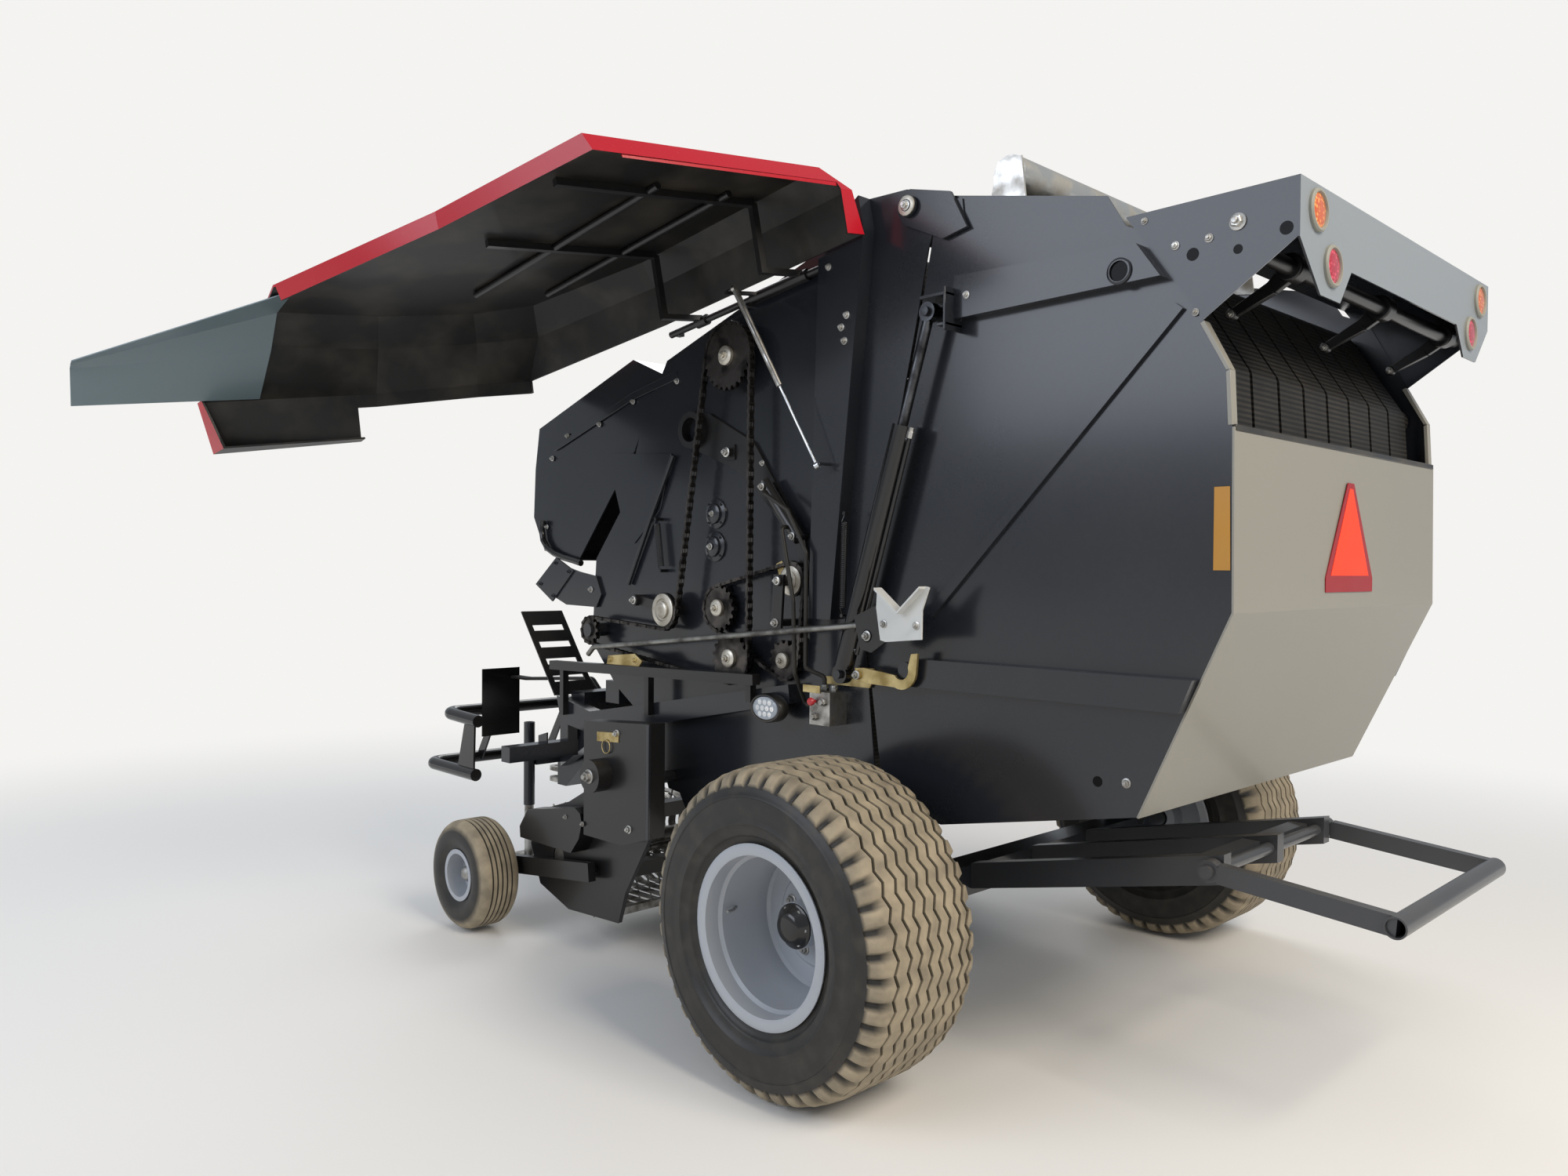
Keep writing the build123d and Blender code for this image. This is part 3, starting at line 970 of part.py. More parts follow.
# Pickup: side plates, cross tubes and the curved strippers between the tine rows
REEL_AT = (-1780, 385)
REEL_TINE_RADIUS = 300
REEL_SHAFT_RADIUS = 40
with BuildPart() as pickup_frame:
    pickup_outline = [at(-1130, 860), at(-1270, 860), at(-1700, 640), at(-1960, 560), at(-2010, 400),
                      at(-1930, 230), at(-1700, 160), at(-1330, 180), at(-1280, 320), at(-1090, 620)]
    plate([at(-1965, 450), at(-1970, 500), at(-1905, 585), at(-1530, 650), at(-1490, 630), at(-1478, 590),
           at(-1500, 520), at(-1560, 450)], -PICKUP_HALF, -PICKUP_HALF - 85)
    for name, hand in SIDES:
        plate(pickup_outline, hand * (PICKUP_HALF - 20), hand * PICKUP_HALF)
        s, h = PICKUP_PIVOT
        rod(spot(s, hand * (PICKUP_HALF - 21), h), spot(s, hand * (PICKUP_HALF + 1), h),
            PICKUP_PIN_RADIUS + RUNNING_CLEARANCE, mode=Mode.SUBTRACT)
        s, h = REEL_AT
        rod(spot(s, hand * (PICKUP_HALF - 21), h), spot(s, hand * (PICKUP_HALF + 1), h),
            REEL_SHAFT_RADIUS + RUNNING_CLEARANCE, mode=Mode.SUBTRACT)
    for s, h in ((-1250, 655), (-1330, 400)):
        bar(spot(s, -PICKUP_HALF + 20, h), spot(s, PICKUP_HALF - 20, h), 60, 60)
pickup_frame.part.label = "pickup_frame"
export_step(pickup_frame.part, "parts/pickup_frame.step")

REEL_BARS = 5
REEL_BAR_RADIUS = 150
TINE_PITCH = 66
TINE_COUNT = 28
TINE_WIDTH = 6
with BuildPart() as pickup_reel:
    s, h = REEL_AT
    rod(spot(s, -PICKUP_HALF + 4, h), spot(s, PICKUP_HALF - 4, h), REEL_SHAFT_RADIUS)
    for turn in range(REEL_BARS):
        angle = math.tau * turn / REEL_BARS
        bar_s, bar_h = s + REEL_BAR_RADIUS * math.cos(angle), h + REEL_BAR_RADIUS * math.sin(angle)
        rod(spot(bar_s, -PICKUP_HALF + 40, bar_h), spot(bar_s, PICKUP_HALF - 40, bar_h), 16)
        outward = Plane(origin=spot(bar_s, 0, bar_h), x_dir=(0, 1, 0),
                        z_dir=(math.cos(angle), 0, math.sin(angle)))
        with BuildSketch(outward) as roots:
            with GridLocations(TINE_PITCH, TINE_PITCH, TINE_COUNT, 1):
                Rectangle(TINE_WIDTH, TINE_WIDTH)
        extrude(roots.sketch, amount=REEL_TINE_RADIUS - REEL_BAR_RADIUS)
    for hand in (-1, 1):
        rod(spot(s, hand * (PICKUP_HALF - 60), h), spot(s, hand * (PICKUP_HALF - 52), h), 175)
pickup_reel.part.label = "pickup_reel"
export_step(pickup_reel.part, "parts/pickup_reel.step")

# Strippers: curved sheet bands between the rows of tines
STRIPPER_RADIUS = 215
STRIPPER_WIDTH = 46
STRIPPER_SHEET = 4
s, h = REEL_AT
x, z = at(s, h)
angles = [math.radians(a) for a in range(-60, -301, -20)]
bend = [(x + STRIPPER_RADIUS * math.cos(a), z + STRIPPER_RADIUS * math.sin(a)) for a in angles]
with BuildPart() as stripper:
    plate(band([at(-1360, 205)] + bend + [at(-1280 - SEAT_GAP, 660)], STRIPPER_SHEET),
          -STRIPPER_WIDTH / 2, STRIPPER_WIDTH / 2)
with BuildPart() as pickup_strippers:
    with Locations(*[(0, (index - TINE_COUNT / 2) * TINE_PITCH, 0) for index in range(TINE_COUNT + 1)]):
        add(stripper.part)
    bar(spot(-1370, -PICKUP_HALF + 20, 215), spot(-1370, PICKUP_HALF - 20, 215), 30, 30)
pickup_strippers.part.label = "pickup_strippers"
export_step(pickup_strippers.part, "parts/pickup_strippers.step")

# Pickup drive cover on the left, and the gauge wheel arms
with BuildPart() as drive_cover:
    plate([at(-1470, 1030), at(-1020, 1060), at(-1020, 600), at(-1200, 545), at(-1470, 545)],
          -PICKUP_HALF, -PICKUP_HALF - 80)
    rod(spot(-1330, -PICKUP_HALF - 80, 820), spot(-1330, -PICKUP_HALF - 150, 820), 68)
drive_cover.part.label = "drive_cover"
export_step(drive_cover.part, "parts/drive_cover.step")
GAUGE_AT = (-2200, GAUGE_TYRE_RADIUS + 15)
for name, hand in SIDES:
    with BuildPart() as gauge_arm:
        s, h = GAUGE_AT
        bar(spot(s - 30, hand * 1065, h + 20), spot(-1460, hand * 1065, 380), 36, 80)
        rod(spot(s, hand * 1050, h), spot(s, hand * (GAUGE_TRACK / 2 + 30), h), 15)
        rod(spot(-1500, hand * PICKUP_HALF, 375), spot(-1500, hand * 1050, 375), 18)
    gauge_arm.part.label = "gauge_arm_" + name
    export_step(gauge_arm.part, "parts/gauge_arm_" + name + ".step")
    centre = spot(GAUGE_AT[0], hand * GAUGE_TRACK / 2, GAUGE_AT[1])
    across = Plane(origin=centre, x_dir=(0, hand, 0), z_dir=(hand, 0, 0))
    turning = Axis(centre, (0, 1, 0))
    half = GAUGE_TYRE_WIDTH / 2
    with BuildPart() as gauge_rim:
        with BuildSketch(across) as section:
            with BuildLine():
                Polyline((-half + 15, 118), (-half + 19, 118), (-half + 19, 102), (half - 19, 102),
                         (half - 19, 118), (half - 15, 118), (half - 15, 98), (10, 92), (0, 34), (42, 34),
                         (42, 0), (32, 0), (32, 15.1), (-40, 15.1), (-40, 34), (-6, 34), (0, 92),
                         (-half + 15, 98), close=True)
            make_face()
        revolve(section.sketch, axis=turning)
    gauge_rim.part.label = "gauge_rim_" + name
    export_step(gauge_rim.part, "parts/gauge_rim_" + name + ".step")
    with BuildPart() as gauge_tyre:
        with BuildSketch(across) as section:
            with BuildLine():
                Polyline((-half + 20, 102.3), (-half + 20, 122), (-half, 170), (-half + 12, 225),
                         (-60, GAUGE_TYRE_RADIUS), (60, GAUGE_TYRE_RADIUS), (half - 12, 225), (half, 170),
                         (half - 20, 122), (half - 20, 102.3), close=True)
            make_face()
        revolve(section.sketch, axis=turning)
    gauge_tyre.part.label = "gauge_tyre_" + name
    export_step(gauge_tyre.part, "parts/gauge_tyre_" + name + ".step")

# Gas struts of the shields: the rod stands on the post, the tube hangs on the shield frame
STRUT_ROD_RADIUS = 5
STRUT_TUBE_RADIUS = 12
ROD_SHOWN_OPEN = 340
foot = strut_foot
shortening = (strut_open - foot).length - (strut_closed - foot).length
for name, head, shown in (("left", strut_open, ROD_SHOWN_OPEN),
                          ("right", strut_closed, ROD_SHOWN_OPEN - shortening)):
    along = (head - foot).normalized()
    with BuildPart() as strut_rod:
        rod(tuple(foot), tuple(foot + along * (ROD_SHOWN_OPEN + 60)), STRUT_ROD_RADIUS)
        rod(tuple(foot - strut_turn * STRUT_EYE_HALF), tuple(foot + strut_turn * STRUT_EYE_HALF),
            STRUT_EYE_RADIUS)
        rod(tuple(foot - strut_turn * 9), tuple(foot + strut_turn * 9), STRUT_PIN_RADIUS + RUNNING_CLEARANCE,
            mode=Mode.SUBTRACT)
    with BuildPart() as strut_tube:
        pin_run = hinge_axis.direction
        rod(tuple(foot + along * shown), tuple(head - along * 12), STRUT_TUBE_RADIUS)
        rod(tuple(foot + along * (shown - 1)), tuple(head - along * 40),
            STRUT_ROD_RADIUS + RUNNING_CLEARANCE, mode=Mode.SUBTRACT)
        rod(tuple(head - pin_run * STRUT_EYE_HALF), tuple(head + pin_run * STRUT_EYE_HALF), STRUT_EYE_RADIUS)
    for piece, kind in ((strut_rod, "strut_rod_"), (strut_tube, "strut_tube_")):
        placed = piece.part if name == "left" else piece.part.mirror(Plane.XZ)
        placed.label = kind + name
        export_step(placed, "parts/" + kind + name + ".step")
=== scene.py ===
import math

import bmesh
import bpy
from mathutils import Matrix, Vector


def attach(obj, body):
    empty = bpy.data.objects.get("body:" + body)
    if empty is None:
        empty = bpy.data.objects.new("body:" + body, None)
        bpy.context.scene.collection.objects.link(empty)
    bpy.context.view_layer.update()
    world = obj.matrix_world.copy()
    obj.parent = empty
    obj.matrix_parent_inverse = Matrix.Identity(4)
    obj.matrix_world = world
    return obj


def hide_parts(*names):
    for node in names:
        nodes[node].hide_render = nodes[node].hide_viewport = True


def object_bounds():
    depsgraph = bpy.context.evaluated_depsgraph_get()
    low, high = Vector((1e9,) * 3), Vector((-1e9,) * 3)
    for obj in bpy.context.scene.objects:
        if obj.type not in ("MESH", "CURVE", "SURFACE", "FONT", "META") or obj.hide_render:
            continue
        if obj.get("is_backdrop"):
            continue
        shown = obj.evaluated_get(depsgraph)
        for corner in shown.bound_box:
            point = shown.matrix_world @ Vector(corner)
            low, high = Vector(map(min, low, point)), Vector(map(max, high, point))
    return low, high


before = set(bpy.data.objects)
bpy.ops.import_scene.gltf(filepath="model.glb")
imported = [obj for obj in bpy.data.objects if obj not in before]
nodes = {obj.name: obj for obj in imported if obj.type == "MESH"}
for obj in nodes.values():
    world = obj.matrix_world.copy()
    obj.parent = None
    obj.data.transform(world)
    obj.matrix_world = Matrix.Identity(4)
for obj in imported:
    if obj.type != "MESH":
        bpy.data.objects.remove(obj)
cad_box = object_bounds()

# The view
# The machine is seen from its left rear corner, at the height of a standing person's chest.
# The lens is a phone's wide lens, 26.5 mm on a full frame.
EYE = (5.9746, -3.9143, 1.2538)
HEADING, TILT, ROLL = 0.7977, -0.0172, 0.0071
LENS, SENSOR_WIDTH = 26.53, 36
SIGHT_LIMIT = 200
forward = Vector((-math.sin(HEADING) * math.cos(TILT), math.cos(HEADING) * math.cos(TILT), math.sin(TILT)))
level = Vector((math.cos(HEADING), math.sin(HEADING), 0))
upward = level.cross(forward)
right = math.cos(ROLL) * level + math.sin(ROLL) * upward
top = -math.sin(ROLL) * level + math.cos(ROLL) * upward
camera_data = bpy.data.cameras.new("camera")
camera_data.lens = LENS
camera_data.sensor_width = SENSOR_WIDTH
camera_data.clip_end = SIGHT_LIMIT
camera = bpy.data.objects.new("camera", camera_data)
bpy.context.scene.collection.objects.link(camera)
camera.matrix_world = Matrix.Translation(EYE) @ Matrix((right, top, -forward)).transposed().to_4x4()
bpy.context.scene.camera = camera
bpy.context.scene.view_settings.view_transform = "Standard"


# The studio
# A painted floor 0.43 m below the hitch pin that fades into a pale backdrop, a large soft lamp high on the
# right like the low sun there, and two weaker ones on the left and in front that fill the shaded sides.
FLOOR_HEIGHT = -0.43
FLOOR_REACH = 60
FLOOR_DRIFT = 92
FLOOR_COLOUR, FLOOR_PALE_COLOUR = "e9e7e3", "f1efec"
BACKDROP_COLOUR, FILL_COLOUR = "f4f3f1", "dfe6ee"
FILL_STRENGTH = 0.55
FADE_MIDDLE = (2.4, -0.6, FLOOR_HEIGHT)
FADE_FROM, FADE_TO = 3.2, 8.5
# Columns: place, width, height, power in watts, colour
LAMPS = (((9.5, -1.2, 5.8), 3.6, 3.6, 510, "fff4e4"),
         ((1.0, -8.5, 4.6), 6.0, 4.0, 260, "eaf1ff"),
         ((-3.0, 4.0, 6.5), 5.0, 5.0, 240, "ffffff"))
LAMP_AIM = (2.6, 0, 0.7)


def linear(hex_colour):
    """An sRGB hex colour as linear values with full alpha."""
    channels = (int(hex_colour[i:i + 2], 16) / 255 for i in (0, 2, 4))
    return tuple(c / 12.92 if c <= 0.04045 else ((c + 0.055) / 1.055) ** 2.4 for c in channels) + (1,)


def add_node(tree, kind, inputs=None, **settings):
    """A shader node with its settings; an input takes a value or another node's output."""
    node = tree.nodes.new("ShaderNode" + kind)
    for key, value in settings.items():
        setattr(node, key, value)
    for key, value in (inputs or {}).items():
        if isinstance(value, bpy.types.NodeSocket):
            tree.links.new(value, node.inputs[key])
        else:
            node.inputs[key].default_value = value
    return node


def new_material(name):
    """An empty node material and its tree."""
    material = bpy.data.materials.new(name)
    material.use_nodes = True
    material.node_tree.nodes.clear()
    return material, material.node_tree


# Floor paint is matt, and its tone drifts a little over the floor. Far from the machine the camera, mirrors
# and glass see the backdrop's colour instead, so that no horizon shows.
floor_mesh = bpy.data.meshes.new("floor")
floor_mesh.from_pydata([(x * FLOOR_REACH, y * FLOOR_REACH, FLOOR_HEIGHT)
                        for x, y in ((-1, -1), (1, -1), (1, 1), (-1, 1))], [], [(0, 1, 2, 3)])
floor = bpy.data.objects.new("floor", floor_mesh)
bpy.context.scene.collection.objects.link(floor)
floor_paint, tree = new_material("sealed_floor_paint")
drift = add_node(tree, "TexNoise", {"Scale": 2 * FLOOR_REACH / FLOOR_DRIFT, "Detail": 4.0})
tone = add_node(tree, "Mix", {0: drift.outputs["Fac"], 6: linear(FLOOR_COLOUR), 7: linear(FLOOR_PALE_COLOUR)},
                data_type="RGBA")
shader = add_node(tree, "BsdfPrincipled", {"Base Color": tone.outputs[2], "Roughness": 0.75})
where = add_node(tree, "TexCoord")
from_middle = add_node(tree, "VectorMath", {0: where.outputs["Object"], 1: FADE_MIDDLE}, operation="DISTANCE")
far = add_node(tree, "MapRange", {"Value": from_middle.outputs["Value"], "From Min": FADE_FROM,
                                  "From Max": FADE_TO}, interpolation_type="SMOOTHSTEP")
path = add_node(tree, "LightPath")
seen = add_node(tree, "Math", {0: path.outputs["Is Camera Ray"], 1: path.outputs["Is Glossy Ray"]},
                operation="MAXIMUM")
seen = add_node(tree, "Math", {0: seen.outputs[0], 1: path.outputs["Is Transmission Ray"]},
                operation="MAXIMUM")
faded = add_node(tree, "Math", {0: far.outputs[0], 1: seen.outputs[0]}, operation="MULTIPLY")
backdrop = add_node(tree, "Emission", {"Color": linear(BACKDROP_COLOUR), "Strength": 1.0})
both = add_node(tree, "MixShader", {0: faded.outputs[0], 1: shader.outputs[0], 2: backdrop.outputs[0]})
add_node(tree, "OutputMaterial", {"Surface": both.outputs[0]})
floor_mesh.materials.append(floor_paint)
floor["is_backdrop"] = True

world = bpy.data.worlds.new("studio")
bpy.context.scene.world = world
world.use_nodes = True
tree = world.node_tree
tree.nodes.clear()
path = add_node(tree, "LightPath")
seen = add_node(tree, "Math", {0: path.outputs["Is Camera Ray"], 1: path.outputs["Is Transmission Ray"]},
                operation="MAXIMUM")
fill = add_node(tree, "Background", {"Color": linear(FILL_COLOUR), "Strength": FILL_STRENGTH})
white = add_node(tree, "Background", {"Color": linear(BACKDROP_COLOUR), "Strength": 1.0})
both = add_node(tree, "MixShader", {0: seen.outputs[0], 1: fill.outputs[0], 2: white.outputs[0]})
add_node(tree, "OutputWorld", {"Surface": both.outputs[0]})

for index, (place, width, height, power, colour) in enumerate(LAMPS):
    lamp_data = bpy.data.lights.new(f"soft_lamp_{index}", "AREA")
    lamp_data.shape = "RECTANGLE"
    lamp_data.size, lamp_data.size_y = width, height
    lamp_data.energy = power
    lamp_data.color = linear(colour)[:3]
    lamp = bpy.data.objects.new(f"soft_lamp_{index}", lamp_data)
    lamp.location = place
    lamp.rotation_euler = (Vector(LAMP_AIM) - Vector(place)).to_track_quat("-Z", "Y").to_euler()
    bpy.context.scene.collection.objects.link(lamp)


# Sheet metal and frames
# The sides, frame and drawbar are welded mild steel with a baked powder coat. It gives an even, softly
# glossy colour with a slight orange peel, under thin field dust on whatever faces up.
DUST_COLOUR = "8f8472"
# Sizes in millimetres
DUST_CLOUD, DUST_SPECK, ORANGE_PEEL = 455, 16.67, 4


def mottle(tree, where, size, levels, cover, detail=6.0, grade=0.5):
    """Uneven cover from a noise of a size in millimetres: its levels, low to high, give the cover."""
    noise = add_node(tree, "TexNoise", {"Vector": where.outputs["Object"], "Scale": 1000 / size,
                                        "Detail": detail, "Roughness": grade})
    spread = add_node(tree, "MapRange", {"Value": noise.outputs["Fac"], "From Min": levels[0],
                                         "From Max": levels[1], "To Min": cover[0], "To Max": cover[1]})
    return spread.outputs[0]


def powder_coat(name, colour, roughness, dust, sheen=0.5, rear_paint_and_light_colour=None):
    """Powder coat: even, with dust on upper faces and orange peel; rear faces may get a paler colour, their
    own paint with painted light from the sun on the rear.
    """
    material, tree = new_material(name)
    where = add_node(tree, "TexCoord")
    facing = add_node(tree, "SeparateXYZ", {0: where.outputs["Normal"]})
    upper = add_node(tree, "MapRange", {"Value": facing.outputs["Z"], "From Min": 0.1, "From Max": 1.0,
                                        "To Min": dust * 0.25, "To Max": dust})
    clouds = mottle(tree, where, DUST_CLOUD, (0.35, 0.75), (0.15, 1.0), grade=0.62)
    specks = mottle(tree, where, DUST_SPECK, (0.3, 0.7), (0.6, 1.0), detail=3.0)
    uneven = add_node(tree, "Math", {0: clouds, 1: specks}, operation="MULTIPLY")
    cover = add_node(tree, "Math", {0: upper.outputs[0], 1: uneven.outputs[0]}, operation="MULTIPLY")
    tone = add_node(tree, "Mix", {0: cover.outputs[0], 6: linear(colour), 7: linear(DUST_COLOUR)},
                    data_type="RGBA")
    if rear_paint_and_light_colour:
        # Painted light: faces that look to the rear take the paler colour, partly their own paint and partly
        # the sun falling on them.
        rearward = add_node(tree, "Math", {0: facing.outputs["X"], 1: 0.5}, operation="GREATER_THAN")
        tone = add_node(tree, "Mix", {0: rearward.outputs[0], 6: tone.outputs[2], 7: linear(rear_paint_and_light_colour)},
                        data_type="RGBA")
    rough = add_node(tree, "MapRange", {"Value": cover.outputs[0], "To Min": roughness,
                                        "To Max": min(1, roughness + 0.5)})
    peel = add_node(tree, "TexNoise", {"Vector": where.outputs["Object"], "Scale": 1000 / ORANGE_PEEL,
                                       "Detail": 1.0})
    bump = add_node(tree, "Bump", {"Height": peel.outputs["Fac"], "Strength": 0.05, "Distance": 0.0008})
    shader = add_node(tree, "BsdfPrincipled",
                      {"Base Color": tone.outputs[2], "Roughness": rough.outputs[0],
                       "Normal": bump.outputs[0], "Specular IOR Level": sheen, "Coat Weight": 0.15,
                       "Coat Roughness": 0.12})
    add_node(tree, "OutputMaterial", {"Surface": shader.outputs[0]})
    return material


def dress(material, *names):
    """Gives CAD nodes that keep their shape a better material."""
    for name in names:
        mesh = nodes[name].data
        for index in range(max(1, len(mesh.materials))):
            if index < len(mesh.materials):
                mesh.materials[index] = material
            else:
                mesh.materials.append(material)


charcoal_powder_coat = powder_coat("charcoal_powder_coat", "1e2127", 0.2, 0.12)
dress(charcoal_powder_coat, "chamber_side_left", "chamber_side_right", "gate_side_left", "gate_side_right",
      "axle_beam", "main_frame", "drawbar", "gearbox", "net_hood")
# Thick gloss paint on tubes shows sharp highlights along them.
glossy_tube_paint = powder_coat("glossy_black_tube_coat", "0e0e10", 0.14, 0.1)
dress(glossy_tube_paint, "front_guard", "gate_cylinder_left", "gate_cylinder_right")
black_powder_coat = powder_coat("black_powder_coat", "121214", 0.34, 0.12)
dress(black_powder_coat, "hinge_bars", "side_rails", "tension_arm", "pickup_frame", "gauge_arm_left",
      "gauge_arm_right", "shield_frame_left", "shield_frame_right", "drive_cover")
warm_grey_powder_coat = powder_coat("warm_grey_powder_coat", "8b887f", 0.42, 0.12)
dress(warm_grey_powder_coat, "rear_panel")
dress(powder_coat("slate_powder_coat", "66777d", 0.35, 0.2), "shield_nose_left", "shield_nose_right")
# The lamp hood's ends are charcoal like the body, and its rear plate is a paler slate: partly the plate's own
# paint, partly painted light where the low sun falls on the rear.
dress(powder_coat("hood_coat_paler_lit_rear", "23272e", 0.26, 0.12, rear_paint_and_light_colour="868d93"), "lamp_hood")
dress(powder_coat("worn_grey_powder_coat", "3b3d41", 0.3, 0.2), "push_bar", "ramp_arms")
# Wheel lacquer holds fine metal flake, which the eye takes as a pale satin grey.
silver_lacquer = powder_coat("silver_lacquer", "a9adb3", 0.34, 0.15)
dress(silver_lacquer, "gauge_rim_left", "gauge_rim_right")
dress(powder_coat("pale_grey_bracket_coat", "cfd0cd", 0.4, 0.1), "lock_bracket")


# Bare steel
# Rollers, jack, tines and drives are machined or cold drawn steel, rubbed bright by the crop and oiled:
# a metal sheen with darker, duller patches where the oil holds dust, and fine tool marks.
# Sizes in millimetres; real tool marks are finer, and these are drawn coarser so that they show
OIL_PATCH, TOOL_MARK = 71.43, 4.545


def worn_steel(name, colour, dark, roughness, marking=0.08):
    """Machined steel: a metal with darker oily patches and fine tool marks."""
    material, tree = new_material(name)
    where = add_node(tree, "TexCoord")
    oil = mottle(tree, where, OIL_PATCH, (0.38, 0.66), (0.0, 1.0), detail=5.0)
    tone = add_node(tree, "Mix", {0: oil, 6: linear(colour), 7: linear(dark)}, data_type="RGBA")
    rough = add_node(tree, "MapRange", {"Value": oil, "To Min": roughness, "To Max": min(1, roughness + 0.3)})
    marks = add_node(tree, "TexNoise", {"Vector": where.outputs["Object"], "Scale": 1000 / TOOL_MARK,
                                        "Detail": 2.0})
    bump = add_node(tree, "Bump", {"Height": marks.outputs["Fac"], "Strength": marking, "Distance": 0.0006})
    shader = add_node(tree, "BsdfPrincipled",
                      {"Base Color": tone.outputs[2], "Metallic": 1.0, "Roughness": rough.outputs[0],
                       "Normal": bump.outputs[0]})
    add_node(tree, "OutputMaterial", {"Surface": shader.outputs[0]})
    return material


dress(worn_steel("rubbed_roller_steel", "d4d3ce", "b0ada6", 0.34), "top_roller")
dress(worn_steel("machined_bright_steel", "b9b7b2", "6e6a63", 0.3), "hitch_clevis", "jack_leg",
      "pickup_reel", "pickup_strippers", "valve_block", "strut_tube_left", "strut_tube_right")
oiled_steel = worn_steel("oiled_chain_steel", "5a5653", "262423", 0.32)
dress(oiled_steel, "drive_sprockets", "drive_chains")
# Ground rods are smooth, so their highlights are thin bright lines: pale on chrome, dark under oil.
dress(worn_steel("ground_hard_chrome", "d8dadc", "b9bcc0", 0.1, 0.01), "strut_rod_left", "strut_rod_right")
dress(worn_steel("oiled_ground_rod", "5c5d60", "2f2f31", 0.22, 0.01), "gate_rod_left", "gate_rod_right")
# Passivated zinc plate looks like pale brass.
yellow_zinc = worn_steel("yellow_zinc_plate", "cdbb8a", "a08c5c", 0.36)
dress(yellow_zinc, "gate_hooks")


# Belts, hoses and plastics
# Belts and hoses are vulcanised rubber, matt and greyed by dust; the belts have fine cross ribs, with painted
# shade darkening the grooves between them. The driveline's guards are moulded plastic, evenly coloured with
# fine scuffs and a soft gloss.
# Sizes in millimetres; the real ribs are 10 mm apart and the pores under 1 mm, and both are drawn coarser
# so that they show in a picture
RUBBER_DUST, RUBBER_PORE, PLASTIC_SCUFF, BELT_RIB = 111.1, 3.333, 200, 16
# A wave texture of scale 1 repeats every 314 mm.
WAVE_LENGTH = 314


def rubber(name, colour, dust, roughness, ribbed=False):
    """Vulcanised rubber: matt, with dust in clouds; belts have cross ribs, their grooves darkened with
    painted shade.
    """
    material, tree = new_material(name)
    where = add_node(tree, "TexCoord")
    cover = mottle(tree, where, RUBBER_DUST, (0.3, 0.75), (0.02, dust))
    tone = add_node(tree, "Mix", {0: cover, 6: linear(colour), 7: linear(DUST_COLOUR)}, data_type="RGBA")
    if ribbed:
        relief = add_node(tree, "TexWave", {"Vector": where.outputs["Object"], "Distortion": 0.0,
                                            "Scale": WAVE_LENGTH / BELT_RIB}, bands_direction="Z")
        # Painted shade: the grooves between the ribs are mixed towards near black.
        tone = add_node(tree, "Mix", {0: relief.outputs["Fac"], 6: linear("080808"), 7: tone.outputs[2]},
                        data_type="RGBA")
    else:
        relief = add_node(tree, "TexNoise", {"Vector": where.outputs["Object"], "Scale": 1000 / RUBBER_PORE})
    bump = add_node(tree, "Bump", {"Height": relief.outputs["Fac"], "Strength": 0.5,
                                   "Distance": 0.002 if ribbed else 0.0006})
    shader = add_node(tree, "BsdfPrincipled",
                      {"Base Color": tone.outputs[2], "Roughness": roughness, "Normal": bump.outputs[0],
                       "Specular IOR Level": 0.35})
    add_node(tree, "OutputMaterial", {"Surface": shader.outputs[0]})
    return material


dress(rubber("extruded_hose_rubber", "131313", 0.08, 0.45), "hoses")
dress(rubber("ribbed_belt_rubber", "1b1a19", 0.1, 0.6, ribbed=True), "front_belts", "gate_belts")


def moulded_plastic(name, colour, roughness, dust):
    """Moulded plastic: an even colour, fine scuffs and a little dust."""
    material, tree = new_material(name)
    where = add_node(tree, "TexCoord")
    cover = mottle(tree, where, PLASTIC_SCUFF, (0.4, 0.75), (0.0, dust), detail=7.0)
    tone = add_node(tree, "Mix", {0: cover, 6: linear(colour), 7: linear(DUST_COLOUR)}, data_type="RGBA")
    rough = mottle(tree, where, PLASTIC_SCUFF, (0.0, 1.0), (roughness * 0.8, roughness * 1.4), detail=7.0)
    shader = add_node(tree, "BsdfPrincipled", {"Base Color": tone.outputs[2], "Roughness": rough,
                                               "Coat Weight": 0.2, "Coat Roughness": 0.1})
    add_node(tree, "OutputMaterial", {"Surface": shader.outputs[0]})
    return material


black_moulding = moulded_plastic("black_moulded_plastic", "131313", 0.42, 0.2)
dress(black_moulding, "driveline")


# Side shields
# Each shield is one moulded plastic tray, lacquered red outside and left black inside, so the finish changes
# at the tray's middle line. The left one stands open on its gas strut, the right one is closed.
HINGE_POINT = Vector((3.1, -0.87, 2.355))
HINGE_SLOPE = math.radians(8)
OPEN_ANGLE = math.radians(85)
TRAY_MIDDLE = Vector((2.35, -0.90, 1.57))
INWARD = Vector((0, 1, 0))
MIRROR = Matrix.Diagonal((1, -1, 1))
LACQUER, SCUFFED_LACQUER, BARE_PLASTIC = "b00c20", "c8606a", "121110"
# Sizes in millimetres
LACQUER_SCUFF, TRAY_DUST, TRAY_GRAIN = 11.11, 250, 71.43
hinge_line = Vector((-math.cos(HINGE_SLOPE), 0, -math.sin(HINGE_SLOPE)))
open_turn = Matrix.Translation(HINGE_POINT) @ Matrix.Rotation(OPEN_ANGLE, 4, hinge_line) \
    @ Matrix.Translation(-HINGE_POINT)


